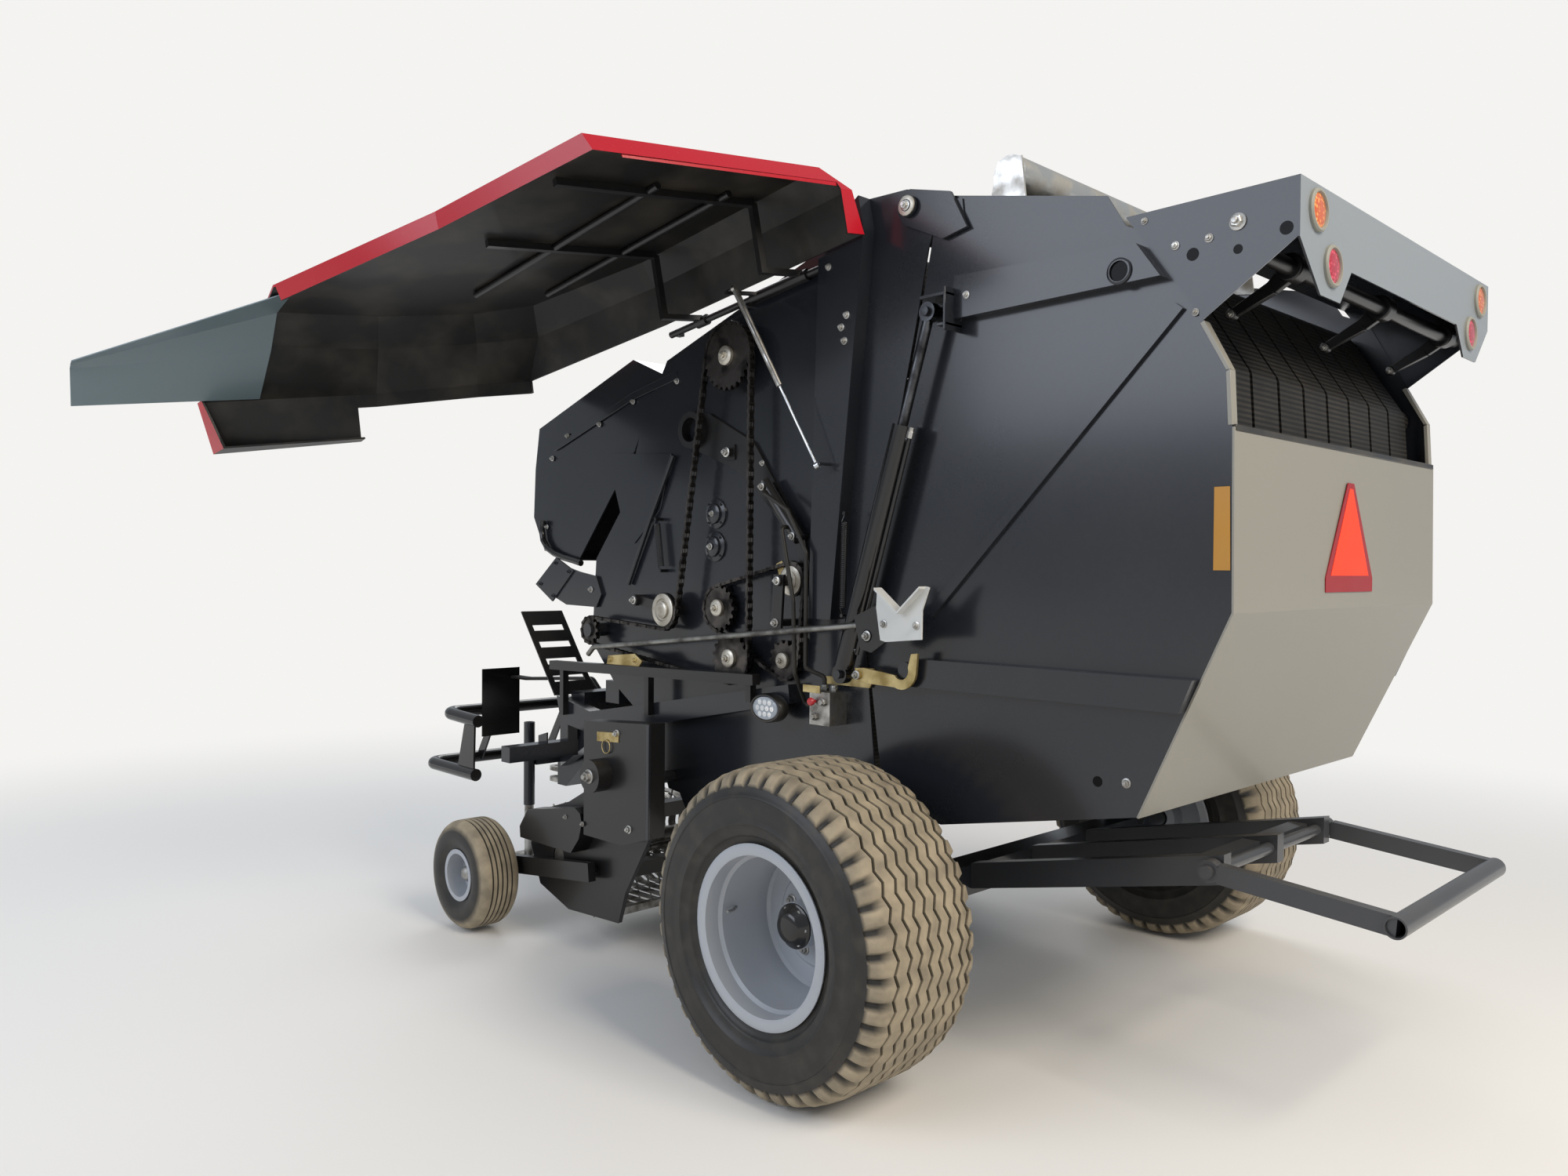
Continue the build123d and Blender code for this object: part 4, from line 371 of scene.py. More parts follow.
def lacquered_tray(name, middle, inward):
    """Red lacquer on faces that look away from the tray's middle, with pale scuffs; black plastic with a
    coarse grain inside, and on the cut edges, which look inward to the machine."""
    material, tree = new_material(name)
    where = add_node(tree, "TexCoord")
    away = add_node(tree, "VectorMath", {0: where.outputs["Object"], 1: tuple(middle)}, operation="SUBTRACT")
    facing = add_node(tree, "VectorMath", {0: away.outputs[0], 1: where.outputs["Normal"]},
                      operation="DOT_PRODUCT")
    outside = add_node(tree, "Math", {0: facing.outputs["Value"], 1: 0.0}, operation="GREATER_THAN")
    inner = add_node(tree, "VectorMath", {0: where.outputs["Normal"], 1: tuple(inward)},
                     operation="DOT_PRODUCT")
    uncut = add_node(tree, "Math", {0: inner.outputs["Value"], 1: 0.7}, operation="LESS_THAN")
    painted = add_node(tree, "Math", {0: outside.outputs[0], 1: uncut.outputs[0]}, operation="MULTIPLY")
    scuffs = mottle(tree, where, LACQUER_SCUFF, (0.70, 0.78), (0.0, 0.3), detail=2.0)
    red = add_node(tree, "Mix", {0: scuffs, 6: linear(LACQUER), 7: linear(SCUFFED_LACQUER)},
                   data_type="RGBA")
    dusty = mottle(tree, where, TRAY_DUST, (0.45, 0.8), (0.0, 0.18), detail=7.0)
    black = add_node(tree, "Mix", {0: dusty, 6: linear(BARE_PLASTIC), 7: linear(DUST_COLOUR)},
                     data_type="RGBA")
    tone = add_node(tree, "Mix", {0: painted.outputs[0], 6: black.outputs[2], 7: red.outputs[2]},
                    data_type="RGBA")
    rough = add_node(tree, "MapRange", {"Value": painted.outputs[0], "To Min": 0.5, "To Max": 0.26})
    grain = add_node(tree, "TexNoise", {"Vector": where.outputs["Object"], "Scale": 1000 / TRAY_GRAIN,
                                        "Detail": 3.0})
    bump = add_node(tree, "Bump", {"Height": grain.outputs["Fac"], "Strength": 0.1, "Distance": 0.0012})
    shader = add_node(tree, "BsdfPrincipled",
                      {"Base Color": tone.outputs[2], "Roughness": rough.outputs[0],
                       "Normal": bump.outputs[0], "Specular IOR Level": 0.4, "Coat Weight": 0.08,
                       "Coat Roughness": 0.1})
    add_node(tree, "OutputMaterial", {"Surface": shader.outputs[0]})
    return material


dress(lacquered_tray("red_lacquered_tray_left", open_turn @ TRAY_MIDDLE, open_turn.to_3x3() @ INWARD),
      "shield_left")
dress(lacquered_tray("red_lacquered_tray_right", MIRROR @ TRAY_MIDDLE, MIRROR @ INWARD), "shield_right")


# Main wheels
# Wide low tyres of moulded rubber: the tread is tan with field dust between dark zigzag grooves, short
# slots cut the shoulders, and the walls stay black. Eight nuts hold each silver dished rim to its hub.
HITCH_TO_AXLE = 3.35
SIDES = (("left", -1), ("right", 1))
ROAD_OUT, ROAD_RADIUS, ROAD_TREAD_HALF, ROAD_DROP = 1.236, 0.53, 0.12, 0.014
TREAD_REPEATS, STEPS_PER_REPEAT = 44, 6
SWING = (-1, -0.35, 0.35, 1, 0.35, -0.35)
GROOVE_WIDTH, GROOVE_DEPTH, GROOVE_SWING = 0.013, 0.014, 0.009
# Profiles: distance from the wheel's middle plane, radius
ROAD_WALLS = ((0.217, 0.2625), (0.217, 0.302), (0.230, 0.316), (0.2335, 0.318), (0.2345, 0.323),
              (0.238, 0.332), (0.2455, 0.352), (0.2475, 0.3535), (0.248, 0.357), (0.2465, 0.359),
              (0.2485, 0.39), (0.2485, 0.42), (0.2465, 0.436), (0.2485, 0.438), (0.2475, 0.443),
              (0.2435, 0.446), (0.236, 0.468))
ROAD_SHOULDER = ((0.231, 0.480), (0.222, 0.496), (0.206, 0.512))
ROAD_GROOVES = (-0.168, -0.12, -0.072, -0.024, 0.024, 0.072, 0.12, 0.168)
RIM_PROFILE = ((-0.226, 0.284), (-0.224, 0.29), (-0.219, 0.29), (-0.218, 0.262), (0.218, 0.262),
               (0.219, 0.29), (0.224, 0.2905), (0.2265, 0.284), (0.2265, 0.262), (0.222, 0.252),
               (0.17, 0.249),
               (0.16, 0.238), (0.05, 0.232), (0.035, 0.226), (-0.028, 0.224), (-0.038, 0.214), (-0.04, 0.16),
               (-0.034, 0.15), (-0.034, 0.085), (-0.03, 0.0755), (0.058, 0.0755), (0.058, 0.04),
               (-0.128, 0.04), (-0.128, 0.076), (-0.052, 0.076), (-0.052, 0.224), (-0.218, 0.248))
HUB_CAP_PROFILE = ((0.058, 0.074), (0.064, 0.073), (0.068, 0.066), (0.09, 0.05), (0.096, 0.04), (0.098, 0.02))
NUTS, NUT_CIRCLE, NUT_SEAT, NUT_SIZE = 8, 0.115, -0.034, 0.019
CAP_SCREWS, CAP_SCREW_CIRCLE, CAP_SCREW_SEAT = 6, 0.06, 0.066
CAP_SCREW_PROFILE = ((0, 0.007), (0.006, 0.007), (0.008, 0.005))
VALVE_RADIUS = 0.0045
# Points of the valve stem: out from the wheel's middle plane, backward, up
VALVE_STEM = ((0.1, -0.236, 0.02), (0.13, -0.216, 0.02), (0.16, -0.212, 0.02))
# Sizes in millimetres; the pores are drawn coarser than real ones so that they show
TREAD_DUST, TREAD_PORE = 62.5, 3.846


def spot(behind_axle, across, above_ground):
    """A point from metres behind the axle, to the right of the middle and above the ground."""
    return Vector((HITCH_TO_AXLE + behind_axle, across, above_ground + FLOOR_HEIGHT))


def circle(centre, radius, count, turn=0.0):
    """Points at even steps round a circle that faces sideways."""
    angles = [math.tau * (k + turn) / count for k in range(count)]
    return [Vector(centre) + Vector((radius * math.cos(a), 0, radius * math.sin(a))) for a in angles]


def skin(draft, rings, closed=False):
    """Faces between rings of points; an open row of rings is closed by a cap at each end."""
    rows = [[draft.verts.new(point) for point in ring] for ring in rings]
    for low, high in list(zip(rows, rows[1:])) + ([(rows[-1], rows[0])] if closed else []):
        for index in range(len(low)):
            after = (index + 1) % len(low)
            draft.faces.new((low[index], low[after], high[after], high[index]))
    if not closed:
        draft.faces.new(rows[0][::-1])
        draft.faces.new(rows[-1])
    return rows


def turned(draft, centre, axis, profile, sides=24, closed=False):
    """A turned shape: the profile gives places along the axis and the radius there."""
    axis = Vector(axis).normalized()
    first = axis.orthogonal().normalized()
    second = axis.cross(first)
    rings = []
    for along, radius in profile:
        rings.append([Vector(centre) + axis * along + first * (radius * math.cos(math.tau * k / sides))
                      + second * (radius * math.sin(math.tau * k / sides)) for k in range(sides)])
    return skin(draft, rings, closed)


def bolt(draft, seat, axis, size):
    """A bolt's washer, hexagon and the end of its thread, on a seat and along an axis."""
    axis = Vector(axis).normalized()
    turned(draft, seat, axis, ((0, size), (size * 0.16, size), (size * 0.2, size * 0.93)), 20)
    head = Vector(seat) + axis * (size * 0.2)
    turned(draft, head, axis, ((0, size * 0.72), (size * 0.52, size * 0.72), (size * 0.62, size * 0.6)), 6)
    turned(draft, head + axis * (size * 0.6), axis,
           ((0, size * 0.38), (size * 0.32, size * 0.38), (size * 0.4, size * 0.3)), 12)


def swept(draft, points, radius, sides=8, closed=False):
    """A round bar or wire along a row of points."""
    points = [Vector(p) for p in points]
    count = len(points)
    normal = (points[1] - points[0]).orthogonal().normalized()
    rings = []
    for index, point in enumerate(points):
        before = points[index - 1] if index or closed else point
        after = points[(index + 1) % count] if index < count - 1 or closed else point
        run = (after - before).normalized()
        normal = (normal - run * normal.dot(run)).normalized()
        other = run.cross(normal)
        rings.append([point + normal * (radius * math.cos(math.tau * k / sides))
                      + other * (radius * math.sin(math.tau * k / sides)) for k in range(sides)])
    return skin(draft, rings, closed)


def finish_piece(draft, name, material, body, edge=0.0, smooth=35):
    """A draft made into a piece: outward faces, soft edges, its material and body."""
    bmesh.ops.recalc_face_normals(draft, faces=draft.faces)
    mesh = bpy.data.meshes.new(name)
    draft.to_mesh(mesh)
    draft.free()
    mesh.materials.append(material)
    mesh.shade_smooth()
    mesh.set_sharp_from_angle(angle=math.radians(smooth))
    piece = bpy.data.objects.new(name, mesh)
    bpy.context.scene.collection.objects.link(piece)
    if edge:
        bevel = piece.modifiers.new("edge", "BEVEL")
        bevel.width, bevel.segments = edge, 2
        bevel.limit_method, bevel.angle_limit = "ANGLE", math.radians(40)
    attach(piece, body)
    return piece


def tread_rubber(name, tan):
    """Tyre rubber: black walls with a soft shine, and tan dust where the mesh is marked as worn tread."""
    material, tree = new_material(name)
    where = add_node(tree, "TexCoord")
    worn = add_node(tree, "Attribute", attribute_name="worn")
    patchy = mottle(tree, where, TREAD_DUST, (0.3, 0.7), (0.55, 1.0))
    dusty = add_node(tree, "Math", {0: worn.outputs["Fac"], 1: patchy}, operation="MULTIPLY")
    film = mottle(tree, where, TREAD_DUST, (0.45, 0.8), (0.01, 0.08))
    cover = add_node(tree, "Math", {0: dusty.outputs[0], 1: film}, operation="MAXIMUM")
    tone = add_node(tree, "Mix", {0: cover.outputs[0], 6: linear("161514"), 7: linear(tan)},
                    data_type="RGBA")
    rough = add_node(tree, "MapRange", {"Value": cover.outputs[0], "To Min": 0.46, "To Max": 0.9})
    pores = add_node(tree, "TexNoise", {"Vector": where.outputs["Object"], "Scale": 1000 / TREAD_PORE})
    bump = add_node(tree, "Bump", {"Height": pores.outputs["Fac"], "Strength": 0.3, "Distance": 0.0006})
    shader = add_node(tree, "BsdfPrincipled",
                      {"Base Color": tone.outputs[2], "Roughness": rough.outputs[0],
                       "Normal": bump.outputs[0], "IOR": 1.52})
    add_node(tree, "OutputMaterial", {"Surface": shader.outputs[0]})
    return material


def moulded_tyre(name, body, centre, walls, shoulder, crown, grooves, groove, steps, repeat):
    """A tyre as one closed skin: walls, shoulders cut by slots, and a crown with grooves round it.

    The crown is half its flat width, its radius and its drop at the shoulder; a groove is its width, depth
    and swing to each side. Slots are cut in the last two of every repeat's steps.
    """
    half, radius, drop = crown
    width, depth, swing = groove
    slot_depth = depth * 1.5
    # Columns: distance across, radius, share of the swing, depth of the slots, mark for worn tread
    columns = [(-a, r, 0, 0, 0) for a, r in walls] + [(-a, r, 0, slot_depth, 1) for a, r in shoulder]
    for line in grooves:
        fall = radius - drop * max(0, abs(line) - half) / (shoulder[-1][0] - half)
        columns += [(line - width / 2, fall, swing, 0, 1), (line - width / 3, fall - depth, swing, 0, 0),
                    (line + width / 3, fall - depth, swing, 0, 0), (line + width / 2, fall, swing, 0, 1)]
    columns += [(a, r, 0, slot_depth, 1) for a, r in shoulder[::-1]]
    columns += [(a, r, 0, 0, 0) for a, r in walls[::-1]]
    draft = bmesh.new()
    mark = draft.verts.layers.float.new("worn")
    rings, marks = [], []
    for step in range(steps):
        angle = math.tau * step / steps
        phase = step % repeat
        ring, row = [], []
        for across, out, share, slot, worn in columns:
            cut = slot if phase >= repeat - 2 and repeat > 1 else 0
            side = across + share * SWING[phase % len(SWING)]
            reach = out - cut
            ring.append(Vector(centre) + Vector((reach * math.cos(angle), side, reach * math.sin(angle))))
            row.append(0 if cut else worn)
        rings.append(ring)
        marks.append(row)
    rows = skin(draft, rings, closed=True)
    for vertices, row in zip(rows, marks):
        for vertex, worn in zip(vertices, row):
            vertex[mark] = worn
    return finish_piece(draft, name, dusty_tyre_rubber, body, smooth=50)


dusty_tyre_rubber = tread_rubber("dusty_tyre_rubber", "a3967f")
# Clear zinc plate is a pale, slightly dull metal.
zinc_plated_steel = worn_steel("zinc_plated_steel", "c9c8c4", "8d8a84", 0.34)
# Thick gloss paint on a hub cap, a spring or a tube shows sharp highlights.
glossy_black_paint = powder_coat("glossy_black_paint", "101012", 0.16, 0.15)
for side, hand in SIDES:
    body = "wheel_" + side
    centre = spot(0, hand * ROAD_OUT, ROAD_RADIUS)
    outward = Vector((0, hand, 0))
    road_tyre = moulded_tyre("road_tyre_" + side, body, centre, ROAD_WALLS, ROAD_SHOULDER,
                             (ROAD_TREAD_HALF, ROAD_RADIUS, ROAD_DROP), ROAD_GROOVES,
                             (GROOVE_WIDTH, GROOVE_DEPTH, GROOVE_SWING), TREAD_REPEATS * STEPS_PER_REPEAT,
                             STEPS_PER_REPEAT)
    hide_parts("tyre_" + side)
    draft = bmesh.new()
    turned(draft, centre, outward, RIM_PROFILE, 80, closed=True)
    road_rim = finish_piece(draft, "road_rim_" + side, silver_lacquer, body, smooth=30)
    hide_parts("rim_" + side)
    draft = bmesh.new()
    turned(draft, centre, outward, HUB_CAP_PROFILE, 32)
    finish_piece(draft, "hub_cap_" + side, glossy_black_paint, body)
    draft = bmesh.new()
    for seat in circle(centre + outward * NUT_SEAT, NUT_CIRCLE, NUTS, 0.5):
        bolt(draft, seat, outward, NUT_SIZE)
    for seat in circle(centre + outward * CAP_SCREW_SEAT, CAP_SCREW_CIRCLE, CAP_SCREWS):
        turned(draft, seat, outward, CAP_SCREW_PROFILE, 6)
    swept(draft, [centre + Vector((back, hand * out, up)) for out, back, up in VALVE_STEM], VALVE_RADIUS, 10)
    finish_piece(draft, "wheel_nuts_" + side, zinc_plated_steel, body)


# Gauge wheels
# Small pneumatic wheels beside the pickup: ribbed implement tyres on dished silver rims with a
# pressed dome over the hub, held by five plated bolts.
GAUGE_BEHIND, GAUGE_OUT, GAUGE_RADIUS = -2.2, 1.2, 0.2625
GAUGE_WALLS = ((0.085, 0.1023), (0.085, 0.122), (0.1, 0.145), (0.1045, 0.172), (0.101, 0.2))
GAUGE_SHOULDER = ((0.093, 0.225), (0.08, 0.238), (0.064, 0.246))
GAUGE_CROWN = (0.06, 0.2475, 0.002)
GAUGE_GROOVES = (-0.048, -0.024, 0.0, 0.024, 0.048)
GAUGE_GROOVE = (0.009, 0.007, 0.0)
GAUGE_STEPS = 96
DOME_PROFILE = ((0.04, 0.036), (0.046, 0.034), (0.058, 0.026), (0.064, 0.012))
DOME_BOLTS, DOME_BOLT_CIRCLE, DOME_BOLT_SEAT, DOME_BOLT_SIZE = 5, 0.062, 0.003, 0.011
for side, hand in SIDES:
    body = "gauge_wheel_" + side
    centre = spot(GAUGE_BEHIND, hand * GAUGE_OUT, GAUGE_RADIUS)
    outward = Vector((0, hand, 0))
    ribbed_tyre = moulded_tyre("ribbed_tyre_" + side, body, centre, GAUGE_WALLS, GAUGE_SHOULDER,
                               GAUGE_CROWN, GAUGE_GROOVES, GAUGE_GROOVE, GAUGE_STEPS, 1)
    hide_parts("gauge_tyre_" + side)
    draft = bmesh.new()
    turned(draft, centre, outward, DOME_PROFILE, 28)
    for seat in circle(centre + outward * DOME_BOLT_SEAT, DOME_BOLT_CIRCLE, DOME_BOLTS, 0.5):
        bolt(draft, seat, outward, DOME_BOLT_SIZE)
    finish_piece(draft, "gauge_hub_dome_" + side, zinc_plated_steel, body)


# Drive chains
# Double row roller chains in two planes on the left: figure of eight plates, turned rollers and
# riveted pins of oiled steel, in the loops that the sprockets and idlers give them.
CHAIN_PITCH = 0.03175
ROLLER_RADIUS, ROLLER_HALF, ROLLER_ROW = 0.0072, 0.0026, 0.0064
PIN_RADIUS, PIN_HALF, PIN_OUT = 0.0042, 0.0152, 0.0083
PLATE_END, PLATE_WAIST, PLATE_ARC, ARC_STEP = 0.0078, 0.68, 140, 28
# Columns: distance behind the axle, height, radius under the chain, side; then the plane across
CHAIN_LOOPS = (
    (((-1.700, 1.400, 0.050, 1), (-1.170, 1.506, 0.072, -1), (-0.778, 2.512, 0.122, 1),
      (-0.750, 1.330, 0.090, 1)), -0.906),
    (((-0.862, 1.523, 0.080, 1), (-0.450, 1.637, 0.060, 1), (-0.486, 1.336, 0.064, 1)), -0.870))
# Columns: offset across, thickness
INNER_PLATES = ((-0.0102, 0.0022), (-0.0026, 0.0016), (0.0026, 0.0016), (0.0102, 0.0022))
OUTER_PLATES = ((-0.0127, 0.0022), (0.0, 0.0022), (0.0127, 0.0022))


def slab(draft, outline, thickness):
    """A flat plate: an outline of points and the vector through its thickness."""
    return skin(draft, [[Vector(p) for p in outline], [Vector(p) + Vector(thickness) for p in outline]])


def pitch_path(circles):
    """The runs and arcs of a taut chain as (length, function of the share along it)."""
    touches = []
    around = list(circles) + [circles[0]]
    for (x1, z1, r1, s1), (x2, z2, r2, s2) in zip(around, around[1:]):
        run = Vector((x2 - x1, z2 - z1))
        ahead = run.normalized()
        left = Vector((-ahead.y, ahead.x))
        lean = (s1 * r1 - s2 * r2) / run.length
        normal = left * math.sqrt(1 - lean * lean) + ahead * lean
        touches.append((Vector((x1, z1)) + normal * (s1 * r1), Vector((x2, z2)) + normal * (s2 * r2)))
    pieces = []
    for index, (leave, arrive) in enumerate(touches):
        pieces.append(((arrive - leave).length, lambda share, a=leave, b=arrive: a.lerp(b, share)))
        x, z, radius, side = circles[(index + 1) % len(circles)]
        next_leave = touches[(index + 1) % len(touches)][0]
        start = math.atan2(arrive.y - z, arrive.x - x)
        turn = math.atan2(next_leave.y - z, next_leave.x - x) - start
        turn = -(-turn % math.tau) if side > 0 else turn % math.tau
        pieces.append((abs(turn) * radius, lambda share, x=x, z=z, r=radius, s=start, t=turn:
                       Vector((x + r * math.cos(s + t * share), z + r * math.sin(s + t * share)))))
    return pieces


def figure_of_eight(first, second, radius):
    """The outline of a chain plate round two pins."""
    ahead = (second - first).normalized()
    lean = math.degrees(math.atan2(ahead.y, ahead.x))
    waist = Vector((-ahead.y, ahead.x)) * (radius * PLATE_WAIST)
    outline = []
    for pin, middle_angle, shift in ((second, 0, waist), (first, 180, -waist)):
        start = lean + middle_angle - PLATE_ARC / 2
        angles = [math.radians(start + a) for a in range(0, PLATE_ARC + 1, ARC_STEP)]
        outline += [pin + Vector((math.cos(a), math.sin(a))) * radius for a in angles]
        outline.append((first + second) / 2 + shift)
    return outline


draft = bmesh.new()
for circles, plane_y in CHAIN_LOOPS:
    pieces = pitch_path([(x, z, radius + PIN_OUT, side) for x, z, radius, side in circles])
    total = sum(length for length, place in pieces)
    links = 2 * round(total / CHAIN_PITCH / 2)
    pins = []
    for link in range(links):
        rest = total * link / links
        for length, place in pieces:
            if rest <= length:
                pins.append(place(rest / length))
                break
            rest -= length
    for index, pin in enumerate(pins):
        after = pins[(index + 1) % links]
        for offset, thickness in INNER_PLATES if index % 2 else OUTER_PLATES:
            outline = [spot(p.x, plane_y + offset - thickness / 2, p.y)
                       for p in figure_of_eight(pin, after, PLATE_END)]
            slab(draft, outline, (0, thickness, 0))
        middle = spot(pin.x, plane_y, pin.y)
        for row in (-ROLLER_ROW, ROLLER_ROW):
            turned(draft, middle + Vector((0, row, 0)), (0, 1, 0),
                   ((-ROLLER_HALF, ROLLER_RADIUS), (ROLLER_HALF, ROLLER_RADIUS)), 8)
        turned(draft, middle, (0, 1, 0), ((-PIN_HALF, PIN_RADIUS), (PIN_HALF, PIN_RADIUS)), 7)
chain_links = finish_piece(draft, "roller_chains", oiled_steel, "chassis", smooth=30)
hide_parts("drive_chains")


# Sprocket hubs and idlers
# Keyed hubs with a bolt and washer hold the sprockets on their shafts, and the idlers have turned faces
# stepped down to a bearing cap. Dry turned faces scatter light, so they look paler than the oiled chains.
LEFTWARD, RIGHTWARD = Vector((0, -1, 0)), Vector((0, 1, 0))
# Columns: distance behind the axle, height, width of the face from the middle, hub radius
HUBS = ((-0.778, 2.512, 0.926, 0.038), (-0.750, 1.330, 0.926, 0.036), (-0.862, 1.523, 0.890, 0.034),
        (-0.486, 1.336, 0.890, 0.030))
HUB_BOLT_SEAT = 0.006
# Columns: distance behind the axle, height, width of the face from the middle, radius of the face
IDLERS = ((-1.170, 1.506, 0.9156, 0.068), (-0.450, 1.637, 0.8796, 0.055))
BEARING_CAP_PROFILE = ((0, 0.036), (0.01, 0.035), (0.012, 0.026), (0.014, 0.024), (0.014, 0.01))
pale_turned_steel = worn_steel("pale_turned_steel", "d2cdc1", "a59f93", 0.42)
draft = bmesh.new()
for back, height, out, radius in HUBS:
    face = spot(back, -out, height)
    turned(draft, face, LEFTWARD,
           ((-0.012, radius), (0.002, radius), (0.006, radius - 0.005), (0.007, radius * 0.5)), 28)
    bolt(draft, face + LEFTWARD * HUB_BOLT_SEAT, LEFTWARD, radius * 0.5)
for back, height, out, radius in IDLERS:
    face = spot(back, -out, height)
    turned(draft, face, LEFTWARD, ((0, radius), (0.004, radius), (0.006, radius - 0.004),
                                   (0.006, radius - 0.02), (0.001, radius - 0.024)), 40)
    turned(draft, face, LEFTWARD, BEARING_CAP_PROFILE, 32)
finish_piece(draft, "sprocket_hubs", pale_turned_steel, "chassis")


# Fasteners
# Zinc plated bolts with washers on the chamber plate, the hood strip, the tension arm, the rail, the
# hinge brackets, the lamp hood and the tailgate, each standing on the sheet it holds.
# Columns: distance behind the axle, height, width of the seat from the middle, size
CHASSIS_BOLTS = (
    (-1.181, 2.467, 0.8372, 0.013), (-1.486, 2.411, 0.8372, 0.013), (-1.739, 2.333, 0.8372, 0.013),
    (-1.995, 2.299, 0.8372, 0.013), (-2.124, 2.201, 0.8372, 0.013), (-2.170, 1.875, 0.8372, 0.013),
    (-0.823, 2.142, 0.8755, 0.020), (-0.575, 1.992, 0.9152, 0.015), (-0.410, 1.802, 0.9152, 0.015),
    (-0.450, 1.637, 0.9522, 0.016), (-0.468, 1.480, 0.9422, 0.017), (-1.400, 1.541, 0.8952, 0.018),
    (-0.921, 1.902, 0.8652, 0.012), (-0.925, 1.769, 0.8692, 0.014), (-1.045, 2.150, 0.8512, 0.012),
    (-0.640, 2.090, 0.8512, 0.012), (-0.085, 1.312, 0.9152, 0.016), (0.020, 1.456, 0.9792, 0.018),
    (0.100, 1.500, 0.9856, 0.014), (0.240, 1.500, 0.9856, 0.014), (-0.250, 2.765, 0.8972, 0.013),
    (-0.215, 2.905, 0.8972, 0.013), (-0.160, 2.580, 0.8972, 0.014), (-0.170, 2.490, 0.8972, 0.014),
    (-0.185, 2.540, 0.8972, 0.014), (0.090, 2.915, 0.8792, 0.018), (-1.78, 1.58, 0.8512, 0.014))
TAILGATE_BOLTS = (
    (1.226, 2.631, 0.8412, 0.024), (1.145, 2.603, 0.8412, 0.013), (1.046, 2.601, 0.8412, 0.013),
    (0.913, 1.061, 0.8372, 0.015), (0.950, 2.690, 0.8412, 0.011), (1.108, 2.405, 0.8412, 0.011),
    (0.350, 2.570, 0.8822, 0.013), (0.100, 1.470, 0.8372, 0.012))
# The first six of the tailgate's bolts are on its right side too.
for name, body, table, repeated in (("chassis_bolts", "chassis", CHASSIS_BOLTS, 0),
                                    ("tailgate_bolts", "tailgate", TAILGATE_BOLTS, 6)):
    draft = bmesh.new()
    for back, height, out, size in table:
        bolt(draft, spot(back, -out, height), LEFTWARD, size)
    for back, height, out, size in table[:repeated]:
        bolt(draft, spot(back, out, height), RIGHTWARD, size)
    finish_piece(draft, name, zinc_plated_steel, body)


# Punched holes
# Round holes are punched in the tailgate's sheets, where the eye sees only shade; each is drawn as a flat
# near-black disc of painted shade. The end of a cross beam's tube is welded round the first of them.
# Columns: distance behind the axle, height, width of the sheet's face, radius, width of the tube's wall
HOLES = ((0.896, 2.548, 0.8822, 0.030, 0.009), (1.098, 2.567, 0.8412, 0.018, 0.0),
         (1.227, 2.557, 0.8412, 0.013, 0.0), (1.357, 2.588, 0.8412, 0.018, 0.0),
         (0.818, 1.053, 0.8372, 0.016, 0.0))
HOLE_SUNK, HOLE_PROUD = 0.001, 0.0006
TUBE_PROUD, TUBE_CHAMFER = 0.007, 0.002
# Painted shade: each hole is a flat near-black disc instead of an opening.
painted_hole_shade = powder_coat("painted_hole_shade", "050505", 0.9, 0.02, 0.1)
draft, tube_draft = bmesh.new(), bmesh.new()
for back, height, out, radius, wall in HOLES:
    for side, hand in SIDES:
        face, outward = spot(back, hand * out, height), (0, hand, 0)
        turned(draft, face, outward, ((-HOLE_SUNK, radius), (HOLE_PROUD, radius)), 28)
        if wall:
            turned(tube_draft, face, outward,
                   ((-HOLE_SUNK, radius), (-HOLE_SUNK, radius + wall),
                    (TUBE_PROUD - TUBE_CHAMFER, radius + wall), (TUBE_PROUD, radius + wall * 0.6),
                    (TUBE_PROUD, radius)), 36, closed=True)
finish_piece(draft, "hole_shade_discs", painted_hole_shade, "tailgate")
finish_piece(tube_draft, "beam_tube_end", charcoal_powder_coat, "tailgate")


# Rear lamps
# Round lamps of moulded acrylic, pressed into pale rubber grommets in the lamp hood. The beads over the
# diodes are raised, and a painted glint makes a bright dot in each.
REARWARD = (1, 0, 0)
LAMP_BEHIND = 1.392
# Columns: colour, distance from the middle, height
LAMP_PLACES = (("amber", 0.730, 2.650), ("red", 0.625, 2.520))
GROMMET_PROFILE = ((0, 0.046), (0, 0.058), (0.007, 0.058), (0.0115, 0.054), (0.0115, 0.049), (0.006, 0.046))
LENS_PROFILE = ((0, 0.0462), (0.005, 0.0462), (0.0075, 0.040), (0.009, 0.026), (0.0095, 0.01))
# Size in millimetres
LENS_BEAD = 11.11


def beaded_lens(name, colour, painted_glint):
    """Moulded acrylic over rows of diodes: clear coat, a raised bead over each diode, and a painted glint
    that makes each bead's middle paler.
    """
    material, tree = new_material(name)
    where = add_node(tree, "TexCoord")
    beads = add_node(tree, "TexVoronoi", {"Vector": where.outputs["Object"], "Scale": 1000 / LENS_BEAD,
                                          "Randomness": 0.55})
    bead_and_glint_mask = add_node(tree, "MapRange", {"Value": beads.outputs["Distance"], "From Min": 0.1,
                                       "From Max": 0.55, "To Min": 1.0, "To Max": 0.0})
    # Painted glint: the middle of each bead is mixed towards a pale colour, standing in for the highlight on
    # it.
    tone = add_node(tree, "Mix", {0: bead_and_glint_mask.outputs[0], 6: linear(colour), 7: linear(painted_glint)}, data_type="RGBA")
    bump = add_node(tree, "Bump", {"Height": bead_and_glint_mask.outputs[0], "Strength": 0.5, "Distance": 0.0015})
    shader = add_node(tree, "BsdfPrincipled",
                      {"Base Color": tone.outputs[2], "Roughness": 0.18, "IOR": 1.49,
                       "Normal": bump.outputs[0], "Coat Weight": 0.6, "Coat Roughness": 0.05})
    add_node(tree, "OutputMaterial", {"Surface": shader.outputs[0]})
    return material


